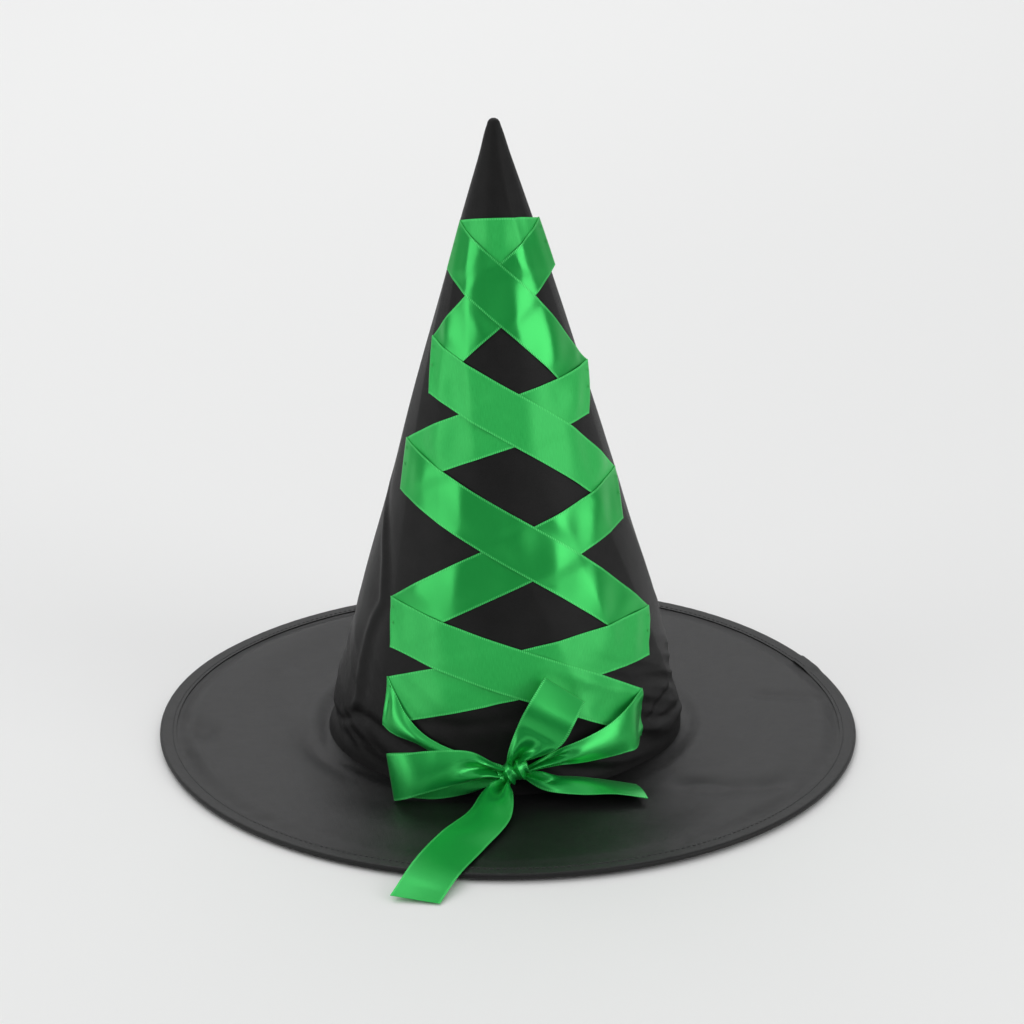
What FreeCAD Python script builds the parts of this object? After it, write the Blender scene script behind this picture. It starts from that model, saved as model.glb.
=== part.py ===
import FreeCAD, Part
import Sketcher
import math
import os

# A witch hat: a tall stiffened cloth cone on a wide wired brim, laced in front with one satin ribbon
# that is tied in a bow at the foot of the cone.  Millimetres.  The origin is the middle of the head
# opening, on the plane that the brim rests on.  +Z is up, and the lacing and its bow face -Y.

Vector = FreeCAD.Vector
doc = FreeCAD.newDocument("witch_hat")

# ---------------------------------------------------------------- driving dimensions

DIMENSIONS = {
    "brim_diameter": 380,
    "head_opening_diameter": 180,
    "crown_base_diameter": 193,
    "crown_peak_height": 343,
    "crown_bulge": 3.5,
    "crown_tip_radius": 3,
    "crown_tip_filling": 12,
    "cloth_thickness": 0.5,
    "crown_lining_thickness": 0.9,
    "brim_core_thickness": 1.2,
    "binding_width": 9,
    "binding_lap_length": 14,
    "binding_lap_around": 25.5,
    "binding_lap_inset": 0.3,
    "stitch_inset": 7,
    "thread_clearance": 0.05,
    "head_seam_inset": 2.7,
    "opening_clearance": 0.2,
    "wire_diameter": 1.6,
    "wire_clearance": 0.25,
    "wire_end_gap": 0.6,
    "ferrule_wall": 0.15,
    "ferrule_length": 14,
    "thread_diameter": 0.4,
    "sweatband_height": 16,
    "sweatband_thickness": 0.8,
    "skin_gap": 0.15,
    "ribbon_width": 25,
    "ribbon_thickness": 0.4,
    "lace_layer_pitch": 0.8,
    "lace_first_lift": 0.4,
    "lace_slope_length": 10,
    "knot_length": 15,
    "knot_depth": 9.4,
    "knot_height": 10.4,
    "tack_radius": 0.6,
    "tack_clearance": 0.2,
}

sheet = doc.addObject("Spreadsheet::Sheet", "dims")
for row, (alias, number) in enumerate(DIMENSIONS.items(), start=1):
    cell = "B%d" % row
    sheet.set(cell, str(number))
    sheet.setAlias(cell, alias)
doc.recompute()


class Dim:
    """A size that knows both its number and the sheet expression that gives it."""

    def __init__(self, number, text):
        self.number = float(number)
        self.text = text

    def __add__(self, other):
        other = as_dim(other)
        return Dim(self.number + other.number, "(%s + %s)" % (self.text, other.text))

    def __sub__(self, other):
        other = as_dim(other)
        return Dim(self.number - other.number, "(%s - %s)" % (self.text, other.text))

    def __mul__(self, other):
        other = as_dim(other)
        return Dim(self.number * other.number, "%s * %s" % (self.text, other.text))

    def __truediv__(self, other):
        other = as_dim(other)
        return Dim(self.number / other.number, "%s / (%s)" % (self.text, other.text))


def as_dim(thing):
    if isinstance(thing, Dim):
        return thing
    return Dim(thing, repr(float(thing)))


def dim(alias):
    return Dim(sheet.get(alias), "dims." + alias)


# Heights of the brim's layers, from the table up: binding, under cloth, core, top cloth, binding.
cloth = dim("cloth_thickness")
under_cloth_bottom = cloth
core_bottom = under_cloth_bottom + cloth
top_cloth_bottom = core_bottom + dim("brim_core_thickness")
brim_top = top_cloth_bottom + cloth
binding_top = brim_top + cloth

# Radii of the brim.  The hoop lies in the channel between the layers' edge and the binding's fold.
brim_radius = dim("brim_diameter") / 2
hoop_radius = brim_radius - cloth - dim("wire_diameter") / 2 - dim("wire_clearance")
layer_radius = hoop_radius - dim("wire_diameter") / 2 - dim("wire_clearance")
hoop_height = (under_cloth_bottom + brim_top) / 2
stitch_radius = brim_radius - dim("stitch_inset")
opening_radius = dim("head_opening_diameter") / 2
band_outer_radius = opening_radius + dim("sweatband_thickness")
brim_inner_radius = band_outer_radius + dim("opening_clearance")

# The crown's outline is one shallow arc from its base to its blunt tip.
base_radius = dim("crown_base_diameter") / 2
tip_radius = dim("crown_tip_radius")
bulge = dim("crown_bulge")
shoulder_height = dim("crown_peak_height") - tip_radius
crown_rise = shoulder_height - brim_top
crown_run = base_radius - tip_radius
side_arc_radius = (crown_rise * crown_rise + crown_run * crown_run) / (bulge * 8) + bulge / 2
filling_height = dim("crown_peak_height") - dim("crown_tip_filling")


def crown_radius_at(height):
    """The crown's outer radius at a height, as a size."""
    share = (height - brim_top) / crown_rise
    return base_radius - share * crown_run + bulge * share * 4 - bulge * share * share * 4


# ---------------------------------------------------------------- ways of making a sub-part

def new_body(name):
    body = doc.addObject("PartDesign::Body", name)
    body.Label = name
    return body


def new_sketch(body, name, role, offset=None):
    """A sketch on one of the body's own origin planes, lifted off it by offset."""
    sketch = body.newObject("Sketcher::SketchObject", name)
    plane = [item for item in body.Origin.OriginFeatures if item.Role == role][0]
    sketch.AttachmentSupport = [(plane, "")]
    sketch.MapMode = "FlatFace"
    if offset is not None:
        sketch.setExpression("AttachmentOffset.Base.z", offset.text)
    return sketch


def bind(sketch, constraint, size):
    index = sketch.addConstraint(constraint)
    sketch.setExpression("Constraints[%d]" % index, size.text)


def end_at(sketch, edge, point):
    """Which end of an edge lies at a point: 1 is its start and 2 its end."""
    return 1 if (sketch.Geometry[edge].StartPoint - point).Length < 1e-6 else 2


def counterclockwise_arc(start, middle, end):
    if (middle - start).cross(end - middle).z < 0:
        start, end = end, start
    return Part.Arc(start, middle, end)


def draw_outline(sketch, corners, arcs=None):
    """A closed outline through corners, each a pair of sizes.

    arcs gives, for the edge that starts at a corner's index, its radius and a point on it.
    """
    arcs = arcs or {}
    points = [Vector(across.number, up.number, 0) for across, up in corners]
    edges = []
    for index, start in enumerate(points):
        end = points[(index + 1) % len(points)]
        if index in arcs:
            edge = counterclockwise_arc(start, arcs[index][1], end)
        else:
            edge = Part.LineSegment(start, end)
        edges.append(sketch.addGeometry(edge, False))
    for index, start in enumerate(points):
        edge = edges[index]
        before = edges[index - 1]
        end = end_at(sketch, edge, start)
        before_end = end_at(sketch, before, start)
        sketch.addConstraint(Sketcher.Constraint("Coincident", before, before_end, edge, end))
        across, up = corners[index]
        bind(sketch, Sketcher.Constraint("DistanceX", -1, 1, edge, end, across.number), across)
        bind(sketch, Sketcher.Constraint("DistanceY", -1, 1, edge, end, up.number), up)
        if index in arcs:
            radius = arcs[index][0]
            bind(sketch, Sketcher.Constraint("Radius", edge, radius.number), radius)


def arc_middle(start, end, radius, side):
    """The middle of an arc between two corners, bulging to the given side of the line from start to end."""
    chord = Vector(end[0].number - start[0].number, end[1].number - start[1].number, 0)
    middle = Vector(start[0].number, start[1].number, 0) + chord * 0.5
    half = chord.Length / 2
    rise = radius.number - math.sqrt(radius.number ** 2 - half ** 2)
    outward = Vector(chord.y, -chord.x, 0).normalize()
    return middle + outward * rise * side


def revolve(name, corners, arcs=None):
    """A body turned about Z from an outline whose corners are (radius, height)."""
    body = new_body(name)
    sketch = new_sketch(body, name + "_section", "XZ_Plane")
    draw_outline(sketch, corners, arcs)
    turn = body.newObject("PartDesign::Revolution", name + "_turn")
    turn.Profile = sketch
    turn.ReferenceAxis = (sketch, ["V_Axis"])
    turn.Angle = 360
    return body


def flat_ring(name, inner, outer, bottom, thickness):
    """A flat ring: two circles on a plane at the height of its underside, padded upward."""
    body = new_body(name)
    sketch = new_sketch(body, name + "_outline", "XY_Plane", bottom)
    for radius in (inner, outer):
        edge = sketch.addGeometry(Part.Circle(Vector(0, 0, 0), Vector(0, 0, 1), radius.number), False)
        sketch.addConstraint(Sketcher.Constraint("Coincident", edge, 3, -1, 1))
        bind(sketch, Sketcher.Constraint("Radius", edge, radius.number), radius)
    pad = body.newObject("PartDesign::Pad", name + "_pad")
    pad.Profile = sketch
    pad.setExpression("Length", thickness.text)
    return body


def torus(name, ring_radius, tube_radius, height, angle=None):
    ring = doc.addObject("Part::Torus", name)
    ring.setExpression("Radius1", ring_radius.text)
    ring.setExpression("Radius2", tube_radius.text)
    ring.setExpression("Placement.Base.z", height.text)
    if angle is not None:
        ring.setExpression("Angle3", angle.text)
    return ring


def soft_piece(name, shape):
    piece = doc.addObject("Part::Feature", name)
    piece.Shape = shape
    piece.Label = name
    return piece


# ---------------------------------------------------------------- the crown

def wall(name, outer_base, inset, top_height, thickness, floor):
    """A cone wall of even thickness, inset from the crown's outline and open at both ends."""
    outer_top = crown_radius_at(top_height) - inset
    corners = [
        (outer_base, floor),
        (outer_top, top_height),
        (outer_top - thickness, top_height),
        (outer_base - thickness, floor),
    ]
    arcs = {
        0: (side_arc_radius, arc_middle(corners[0], corners[1], side_arc_radius, 1)),
        2: (side_arc_radius, arc_middle(corners[2], corners[3], side_arc_radius, -1)),
    }
    return revolve(name, corners, arcs)


def crown_cloth():
    """The outer cone.  Its tip is closed and filled by the seam allowances that are turned in there."""
    zero = as_dim(0)
    peak = dim("crown_peak_height")
    filling_radius = crown_radius_at(filling_height) - cloth
    corners = [
        (base_radius, brim_top),
        (tip_radius, shoulder_height),
        (zero, peak),
        (zero, filling_height),
        (filling_radius, filling_height),
        (base_radius - cloth, brim_top),
    ]
    arcs = {
        0: (side_arc_radius, arc_middle(corners[0], corners[1], side_arc_radius, 1)),
        1: (tip_radius, arc_middle(corners[1], corners[2], tip_radius, 1)),
        4: (side_arc_radius, arc_middle(corners[4], corners[5], side_arc_radius, -1)),
    }
    return revolve("crown_cloth", corners, arcs)


def crown_interlining():
    lining_inset = cloth + dim("skin_gap")
    top = filling_height - dim("crown_tip_filling")
    return wall("crown_interlining", base_radius - lining_inset, lining_inset, top,
                dim("crown_lining_thickness"), brim_top)


def crown_seam_thread():
    """The back seam's stitch line, a sliver of the cone inside the interlining, turned to the rear."""
    inset = cloth + dim("skin_gap") * 2 + dim("crown_lining_thickness")
    top = filling_height - dim("crown_tip_filling") * 2
    floor = brim_top + dim("thread_diameter") * 3
    body = wall("crown_seam_thread", crown_radius_at(floor) - inset, inset, top,
                dim("thread_diameter"), floor)
    turn = body.Tip
    turn.setExpression("Angle", (dim("thread_diameter") / base_radius * math.degrees(1)).text)
    body.Placement = FreeCAD.Placement(Vector(0, 0, 0), FreeCAD.Rotation(Vector(0, 0, 1), 90))
    return body


def head_seam_thread():
    """The stitch line that joins the crown to the brim, just inside the crown's foot."""
    thread = dim("thread_diameter") / 2
    height = brim_top + thread + dim("thread_clearance")
    return torus("head_seam_thread", base_radius - dim("head_seam_inset"), thread, height)


def sweatband():
    zero = as_dim(0)
    height = dim("sweatband_height")
    corners = [
        (opening_radius, zero),
        (band_outer_radius, zero),
        (band_outer_radius, height),
        (opening_radius, height),
    ]
    return revolve("sweatband", corners)


# ---------------------------------------------------------------- the brim

def brim_layers():
    layers = [
        ("brim_under_cloth", under_cloth_bottom, cloth),
        ("brim_interlining", core_bottom, dim("brim_core_thickness")),
        ("brim_top_cloth", top_cloth_bottom, cloth),
    ]
    return [flat_ring(name, brim_inner_radius, layer_radius, bottom, thickness)
            for name, bottom, thickness in layers]


def brim_binding():
    """A tape folded round the edge, with a groove below for the lower row of stitches.

    Its far end is lapped over its near end, and lies one cloth higher over that stretch.
    """
    zero = as_dim(0)
    inner = brim_radius - dim("binding_width")
    groove_half = dim("thread_diameter") / 2 + dim("thread_clearance")
    groove_top = dim("thread_diameter") + dim("thread_clearance")
    fold = brim_radius - cloth
    corners = [
        (inner, zero),
        (stitch_radius - groove_half, zero),
        (stitch_radius - groove_half, groove_top),
        (stitch_radius + groove_half, groove_top),
        (stitch_radius + groove_half, zero),
        (brim_radius, zero),
        (brim_radius, binding_top),
        (inner, binding_top),
        (inner, brim_top),
        (fold, brim_top),
        (fold, under_cloth_bottom),
        (inner, under_cloth_bottom),
    ]
    body = revolve("brim_binding", corners)
    lap = new_sketch(body, "brim_binding_lap_outline", "XY_Plane", binding_top)
    half = dim("binding_lap_length") / 2
    slant = dim("binding_width") / 2
    lap_inner = inner + dim("binding_lap_inset")
    lap_outer = brim_radius - dim("binding_lap_inset")
    draw_outline(lap, [
        (lap_inner, zero - half),
        (lap_outer, zero - half),
        (lap_outer, half),
        (lap_inner, half - slant),
    ])
    pad = body.newObject("PartDesign::Pad", "brim_binding_lap")
    pad.Profile = lap
    pad.setExpression("Length", cloth.text)
    around = sheet.get("binding_lap_around")
    body.Placement = FreeCAD.Placement(Vector(0, 0, 0), FreeCAD.Rotation(Vector(0, 0, 1), around))
    return body


def brim_topstitch():
    """The needle thread lies on the binding, and the bobbin thread in the groove under it."""
    radius = dim("thread_diameter") / 2
    clearance = dim("thread_clearance")
    upper_height = binding_top + cloth + radius + clearance
    upper = torus("topstitch_needle_thread", stitch_radius, radius, upper_height)
    lower = torus("topstitch_bobbin_thread", stitch_radius, radius, radius + clearance / 2)
    rows = doc.addObject("Part::Compound", "brim_topstitch")
    rows.Links = [upper, lower]
    rows.Label = "brim_topstitch"
    return rows


def brim_wire():
    """The spring wire hoop.  Its ends nearly meet at the rear."""
    gap = dim("wire_end_gap")
    wire = torus("brim_wire", hoop_radius, dim("wire_diameter") / 2, hoop_height,
                 as_dim(360) - gap * 2)
    wire.Placement.Rotation = FreeCAD.Rotation(Vector(0, 0, 1), 90 + sheet.get("wire_end_gap"))
    return wire


def wire_ferrule():
    """A crimped tube over the hoop's two ends."""
    bore = dim("wire_diameter") / 2 + dim("thread_clearance")
    length = dim("ferrule_length") / hoop_radius * math.degrees(1)
    outer = torus("ferrule_outside", hoop_radius, bore + dim("ferrule_wall"), hoop_height, length)
    inner = torus("ferrule_bore", hoop_radius, bore, hoop_height, length)
    tube = doc.addObject("Part::Cut", "wire_ferrule")
    tube.Base = outer
    tube.Tool = inner
    tube.Label = "wire_ferrule"
    start = 90 - length.number / 2
    tube.Placement = FreeCAD.Placement(Vector(0, 0, 0), FreeCAD.Rotation(Vector(0, 0, 1), start))
    return tube


# ---------------------------------------------------------------- the lacing

# The ribbon lies flat on the crown, so its straight runs are straight lines on the crown's cloth
# unrolled into a plane.  The cone used for that follows the crown closely over the laced height.
CONE_SLOPE = 0.271
CONE_APEX = 365.3
cone_sine = CONE_SLOPE / math.hypot(1, CONE_SLOPE)
cone_cosine = 1 / math.hypot(1, CONE_SLOPE)

ribbon_width = sheet.get("ribbon_width")
ribbon_thickness = sheet.get("ribbon_thickness")

# Where the ribbon folds: height, and degrees round from the front, positive to the wearer's left (+X).
FOLDS = {
    "l1": (277, -72), "r1": (277, 84),
    "l2": (216, -60), "r2": (201, 74),
    "l3": (162, -66), "r3": (143, 75),
    "l4": (83, -50), "r4": (71, 66),
    "l5": (43, -45), "r5": (33.5, 51),
}
KNOT_ENTRY = (19, 3)

# The ribbon's two halves, each from the top span down to the knot.
HALVES = [
    ["r1", "l1", "r2", "l3", "r4", "l5", "knot"],
    ["l1", "r1", "l2", "r3", "l4", "r5", "knot"],
]

# The runs from the lowest to the topmost.  Where two runs meet, the later one lies over the earlier.
STACK = [
    ("r1", "l1"),
    ("r1", "l2"), ("l1", "r2"),
    ("r2", "l3"), ("l2", "r3"),
    ("r3", "l4"), ("l3", "r4"),
    ("r4", "l5"), ("l4", "r5"),
]


def unroll(height, around):
    """A place on the cone as a point of the unrolled plane, whose origin is the cone's apex."""
    reach = (CONE_APEX - height) / cone_cosine
    turn = math.radians(around) * cone_sine
    return Vector(reach * math.sin(turn), reach * math.cos(turn), 0)


def roll(point, lift):
    """A point of the unrolled plane back on the crown, lifted off the cloth by lift."""
    reach = point.Length
    height = CONE_APEX - reach * cone_cosine
    around = math.atan2(point.x, point.y) / cone_sine
    radius = crown_radius_at(as_dim(height)).number + lift * cone_cosine
    return Vector(radius * math.sin(around), -radius * math.cos(around), height + lift * cone_sine)


def fold_line(before, here, after):
    """The two ends of a fold, upper end first, for straight runs of the ribbon into and out of it."""
    along_in = (here - before).normalize()
    along_out = (after - here).normalize()
    crease = (along_in + along_out).normalize()
    if crease.y < 0:
        crease = crease * -1
    half = ribbon_width / 2 / abs(crease.x * along_out.y - crease.y * along_out.x)
    return here - crease * half, here + crease * half


def find_folds():
    places = {name: unroll(*place) for name, place in FOLDS.items()}
    places["knot"] = unroll(*KNOT_ENTRY)
    folds = {}
    for half in HALVES:
        for before, here, after in zip(half, half[1:], half[2:]):
            folds[here] = fold_line(places[before], places[here], places[after])
    return folds


def smooth_step(share, start, end):
    share = min(max((share - start) / (end - start), 0), 1)
    return share * share * (3 - 2 * share)


def counterclockwise(corners):
    """The corners of a run in counterclockwise order."""
    pairs = zip(corners, corners[1:] + corners[:1])
    area = sum(a.x * b.y - a.y * b.x for a, b in pairs)
    return corners if area > 0 else corners[::-1]


def cover(point, corners):
    """How much of its full thickness a run has at a place: 1 on the run, and 0 a slope's length off it."""
    outside = -math.inf
    for start, end in zip(corners, corners[1:] + corners[:1]):
        along = (end - start).normalize()
        offset = point - start
        outside = max(outside, along.y * offset.x - along.x * offset.y)
    return 1 - smooth_step(outside, 0, sheet.get("lace_slope_length"))


def lift_over(point, runs_below):
    """The height over the cloth at which a ribbon's underside lies at a place, over the runs below it."""
    covered = sum(cover(point, corners) for corners in runs_below)
    return sheet.get("lace_first_lift") + sheet.get("lace_layer_pitch") * covered


def curve_through(points):
    curve = Part.BSplineCurve()
    curve.interpolate(points)
    return curve.toShape()


def ribbon_strip(start, end, lift_at, steps):
    """A strip of ribbon on the crown, lofted from its start line to its end line."""
    sections = []
    ends = []
    across = 8
    for step in range(steps + 1):
        share = step / steps
        first, last = [a + (b - a) * share for a, b in zip(start, end)]
        row = [first + (last - first) * (part / across) for part in range(across + 1)]
        lifts = [lift_at(point, share) for point in row]
        lower = [roll(point, lift) for point, lift in zip(row, lifts)]
        upper = [roll(point, lift + ribbon_thickness) for point, lift in zip(row, lifts)]
        lower_edge = curve_through(lower)
        upper_edge = curve_through(upper)
        sections.append(Part.Wire([
            lower_edge,
            Part.LineSegment(lower[-1], upper[-1]).toShape(),
            upper_edge,
            Part.LineSegment(upper[0], lower[0]).toShape(),
        ]))
        if step in (0, steps):
            ends.append(Part.makeRuledSurface(lower_edge, upper_edge))
    skin = Part.makeLoft(sections, False, False)
    shell = Part.makeShell(skin.Faces + ends)
    shell.sewShape()
    strip = Part.makeSolid(shell)
    if strip.Volume < 0:
        strip.reverse()
    return strip


def lace_run(name, start, end, runs_below):
    """One run of the ribbon between two fold lines."""
    def lift_at(point, share):
        return lift_over(point, runs_below)

    return soft_piece(name, ribbon_strip(start, end, lift_at, 24))


def knot_side(side):
    """The line where a narrowed end of the ribbon enters the knot from its left (-1) or right (1) side."""
    beyond_knot = sheet.get("knot_length") / 2 + 1
    around = KNOT_ENTRY[1] + side * math.degrees(beyond_knot) / base_radius.number
    entry = unroll(KNOT_ENTRY[0] + 1, around)
    half_width = 3.5
    slant = 2 if side < 0 else 0
    return entry - Vector(slant, half_width, 0), entry + Vector(0, half_width, 0)


def lace_end(name, start, end, runs_below):
    """The ribbon's last stretch: it narrows in folds towards the knot and rises off the crown to it."""
    rise = 1.6

    def lift_at(point, share):
        return lift_over(point, runs_below) + rise * smooth_step(share, 0.3, 1)

    return soft_piece(name, ribbon_strip(start, end, lift_at, 16))


def lacing(folds):
    """All runs of the ribbon on the crown, and a small knot of thread over each of its folds."""
    pieces = []
    laid = []
    for start, end in STACK:
        name = "lace_run_%s_%s" % (start, end) if laid else "lace_top_span"
        pieces.append(lace_run(name, folds[start], folds[end], laid))
        laid.append(counterclockwise([*folds[start], *reversed(folds[end])]))
    for name, start, side in (("lace_end_left", "l5", -1), ("lace_end_right", "r5", 1)):
        end = knot_side(side)
        pieces.append(lace_end(name, folds[start], end, laid))
        laid.append(counterclockwise([*folds[start], *reversed(end)]))
    pieces.append(lace_tacks(folds, laid))
    return pieces


def lace_tacks(folds, laid):
    radius = sheet.get("tack_radius")
    tack_inset = 2
    tacks = []
    for upper_end, lower_end in folds.values():
        inward = -tack_inset if upper_end.x > 0 else tack_inset
        spot = (upper_end + lower_end) * 0.5 + Vector(inward, 0, 0)
        lift = lift_over(spot, laid) + sheet.get("tack_clearance") + radius
        tacks.append(Part.makeSphere(radius, roll(spot, lift)))
    return soft_piece("lace_tacks", Part.makeCompound(tacks))


# ---------------------------------------------------------------- the bow

KNOT_CENTRE = Vector(3.5, -98, 19.3)


def bow_knot():
    knot = doc.addObject("Part::Ellipsoid", "bow_knot")
    knot.Label = "bow_knot"
    knot.setExpression("Radius2", "dims.knot_length / 2")
    knot.setExpression("Radius3", "dims.knot_depth / 2")
    knot.setExpression("Radius1", "dims.knot_height / 2")
    knot.Angle1 = -90
    knot.Angle2 = 90
    knot.Placement = FreeCAD.Placement(KNOT_CENTRE, FreeCAD.Rotation())
    return knot


def slab(corners):
    """One closed four-cornered section of a loop."""
    return Part.makePolygon(corners + corners[:1])


def bow_loop_left():
    """The loop that stands on its lower edge over the brim, from the knot to its outer bend."""
    # Each station: across, then the back and front faces' depth, then the lower and upper edges' height.
    stations = [
        (-4.8, -97.5, -101, 15.5, 23),
        (-20, -97, -106, 8, 29.5),
        (-42, -98, -109.5, 4.6, 30.5),
        (-61, -98.5, -104.5, 4.6, 28.5),
    ]
    sections = []
    for across, back, front, low, high in stations:
        sections.append(slab([Vector(across, back, low), Vector(across, back, high),
                              Vector(across, front, high), Vector(across, front, low)]))
    return soft_piece("bow_loop_left", Part.makeLoft(sections, True, True))


def bow_loop_upper():
    """The loop that leans back on the lacing above the knot."""
    # Each station: the left and right edges' middle, then the distance between the two layers' faces.
    stations = [
        (Vector(-0.5, -98, 25.3), Vector(8.5, -98.5, 24.8), 4),
        (Vector(4.9, -95, 44), Vector(26, -95.5, 32), 6),
        (Vector(10.5, -90.5, 54.5), Vector(34, -90.5, 43), 6),
        (Vector(18.8, -85.5, 66.8), Vector(39.9, -85.5, 52.8), 4.5),
    ]
    outward = Vector(0, -0.94, 0.34)
    sections = []
    for left, right, depth in stations:
        half = outward * (depth / 2)
        sections.append(slab([left - half, left + half, right + half, right - half]))
    return soft_piece("bow_loop_upper", Part.makeLoft(sections, True, True))


def tail(name, stations):
    """A free end of the ribbon, through stations that give its middle and the way across to one edge.

    It is straight between its stations, and its faces stand half a thickness above and below its middle.
    """
    sections = []
    for middle, across in stations:
        half_up = Vector(0, 0, ribbon_thickness / 2)
        near = middle - across * 0.5
        far = middle + across * 0.5
        sections.append(slab([near - half_up, far - half_up, far + half_up, near + half_up]))
    return soft_piece(name, Part.makeLoft(sections, True, True))


def bow_tails():
    """The lower tail crosses the brim to the front edge, and the right one lies along the crown."""
    lower = tail("bow_tail_lower", [
        (Vector(-2.5, -104, 13.3), Vector(7, -1, -2)),
        (Vector(-4.8, -109, 12.5), Vector(14.5, 0, 0)),
        (Vector(-9.1, -129.7, 8.8), Vector(21.3, -2.3, -3)),
        (Vector(-23, -158.6, 7.5), Vector(22.3, -8.2, -6)),
        (Vector(-35.4, -187.6, 6.6), Vector(23.1, -8.5, -4.5)),
        (Vector(-45.8, -211.9, 2.2), Vector(24.7, -4.6, -2.4)),
    ])
    right = tail("bow_tail_right", [
        (Vector(12.6, -98.2, 14.4), Vector(0, -5.5, -3)),
        (Vector(21, -98.5, 12), Vector(-2, -11, -4)),
        (Vector(38, -98, 10.3), Vector(0, -18, -2)),
        (Vector(56.5, -95.5, 6), Vector(1, -24, 1)),
        (Vector(70, -98, 4.8), Vector(6, -17.5, 0)),
    ])
    return [lower, right]


# ---------------------------------------------------------------- the hat

folds = find_folds()
parts = [crown_cloth(), crown_interlining(), crown_seam_thread(), head_seam_thread(), sweatband()]
parts += brim_layers()
parts += [brim_binding(), brim_topstitch(), brim_wire(), wire_ferrule()]
parts += lacing(folds)
parts += [bow_knot(), bow_loop_left(), bow_loop_upper()]
parts += bow_tails()
doc.recompute()

for item in doc.Objects:
    if "Invalid" in item.State or "Error" in item.State:
        raise RuntimeError("%s did not build: %s" % (item.Name, item.State))
for part in parts:
    if part.Shape.isNull() or not part.Shape.isValid() or not part.Shape.Solids:
        raise RuntimeError("%s has no valid solid" % part.Label)

os.makedirs("parts", exist_ok=True)
for part in parts:
    part.Shape.exportStep("parts/%s.step" % part.Label)
    box = part.Shape.BoundBox
    print("%-20s solids %2d  volume %10.1f  z %6.2f to %6.2f" % (
        part.Label, len(part.Shape.Solids), part.Shape.Volume, box.ZMin, box.ZMax))
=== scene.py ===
import math

import bpy
import numpy as np
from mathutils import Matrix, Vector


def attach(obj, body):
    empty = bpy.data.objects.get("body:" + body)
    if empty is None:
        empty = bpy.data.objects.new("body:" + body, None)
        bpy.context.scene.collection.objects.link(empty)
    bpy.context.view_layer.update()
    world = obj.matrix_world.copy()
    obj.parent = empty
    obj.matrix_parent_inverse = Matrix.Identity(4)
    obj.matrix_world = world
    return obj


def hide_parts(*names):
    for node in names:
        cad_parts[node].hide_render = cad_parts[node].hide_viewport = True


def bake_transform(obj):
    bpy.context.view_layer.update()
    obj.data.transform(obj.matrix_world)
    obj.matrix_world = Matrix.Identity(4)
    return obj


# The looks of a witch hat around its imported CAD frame.  Everything is worked out in millimetres, with
# the origin in the middle of the head opening on the plane that the brim rests on, and is turned into
# metres when a mesh is made.  "around" is degrees from the front (-Y), positive towards +X.

MM = 0.001
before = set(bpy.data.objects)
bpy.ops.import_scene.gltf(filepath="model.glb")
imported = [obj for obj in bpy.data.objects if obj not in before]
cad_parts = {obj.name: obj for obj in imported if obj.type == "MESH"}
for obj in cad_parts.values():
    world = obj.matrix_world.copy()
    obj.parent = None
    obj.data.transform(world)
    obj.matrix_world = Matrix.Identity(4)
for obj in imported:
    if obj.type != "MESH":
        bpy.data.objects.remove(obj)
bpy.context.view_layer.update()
scene = bpy.context.scene
scene.view_settings.view_transform = "Standard"

# ---- sizes

BRIM_TOP = 2.7
BRIM_RADIUS = 190.0
BRIM_INNER = 91.0
LAYER_RADIUS = 187.4
STITCH_RADIUS = 183.0
HOOP_RADIUS = 188.4
CLOTH = 0.5
CROWN_BASE = 96.5
CROWN_PEAK = 343.0
CROWN_TIP = 3.0
CROWN_ARC = 14.0
SHOULDER = CROWN_PEAK - CROWN_TIP
LEAN = 7.3
BAND_RADIUS = 90.4
BAND_HEIGHT = 16
WIRE_HEIGHT = 1.6
WIRE_RADIUS = 0.8
FERRULE_RADIUS = 1.0
RIBBON_WIDTH = 25.0
RIBBON_THICKNESS = 0.28

# ---- camera

camera_data = bpy.data.cameras.new("photo_camera")
camera_data.lens = 128.0
camera_data.sensor_width = 36.0
camera = bpy.data.objects.new("photo_camera", camera_data)
scene.collection.objects.link(camera)
camera.location = (0.002176, -1.8223, 0.8242)
camera.rotation_euler = (math.radians(69.031), 0, 0)
scene.camera = camera

# ---- small helpers


def smooth(value, start, end):
    """0 before start, 1 after end, and a smooth step between them."""
    share = np.clip((np.asarray(value, float) - start) / (end - start), 0, 1)
    return share * share * (3 - 2 * share)


def bump(distance, width):
    return np.exp(-((distance / width) ** 2))


def turn_from(around, centre):
    """The signed angle from centre, from -180 to 180."""
    return (around - centre + 180) % 360 - 180


def ripples(around, along, seed, waves=7, cycles=(3, 11), lengths=(25, 80)):
    """A soft unevenness from -1 to 1 that closes on itself after a full turn."""
    rng = np.random.default_rng(seed)
    total = 0
    for _ in range(waves):
        count = rng.integers(cycles[0], cycles[1] + 1)
        length = rng.uniform(*lengths)
        total += np.sin(np.radians(around) * count + along / length * 2 * math.pi
                               + rng.uniform(0, 2 * math.pi))
    return total / waves * 1.6


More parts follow.
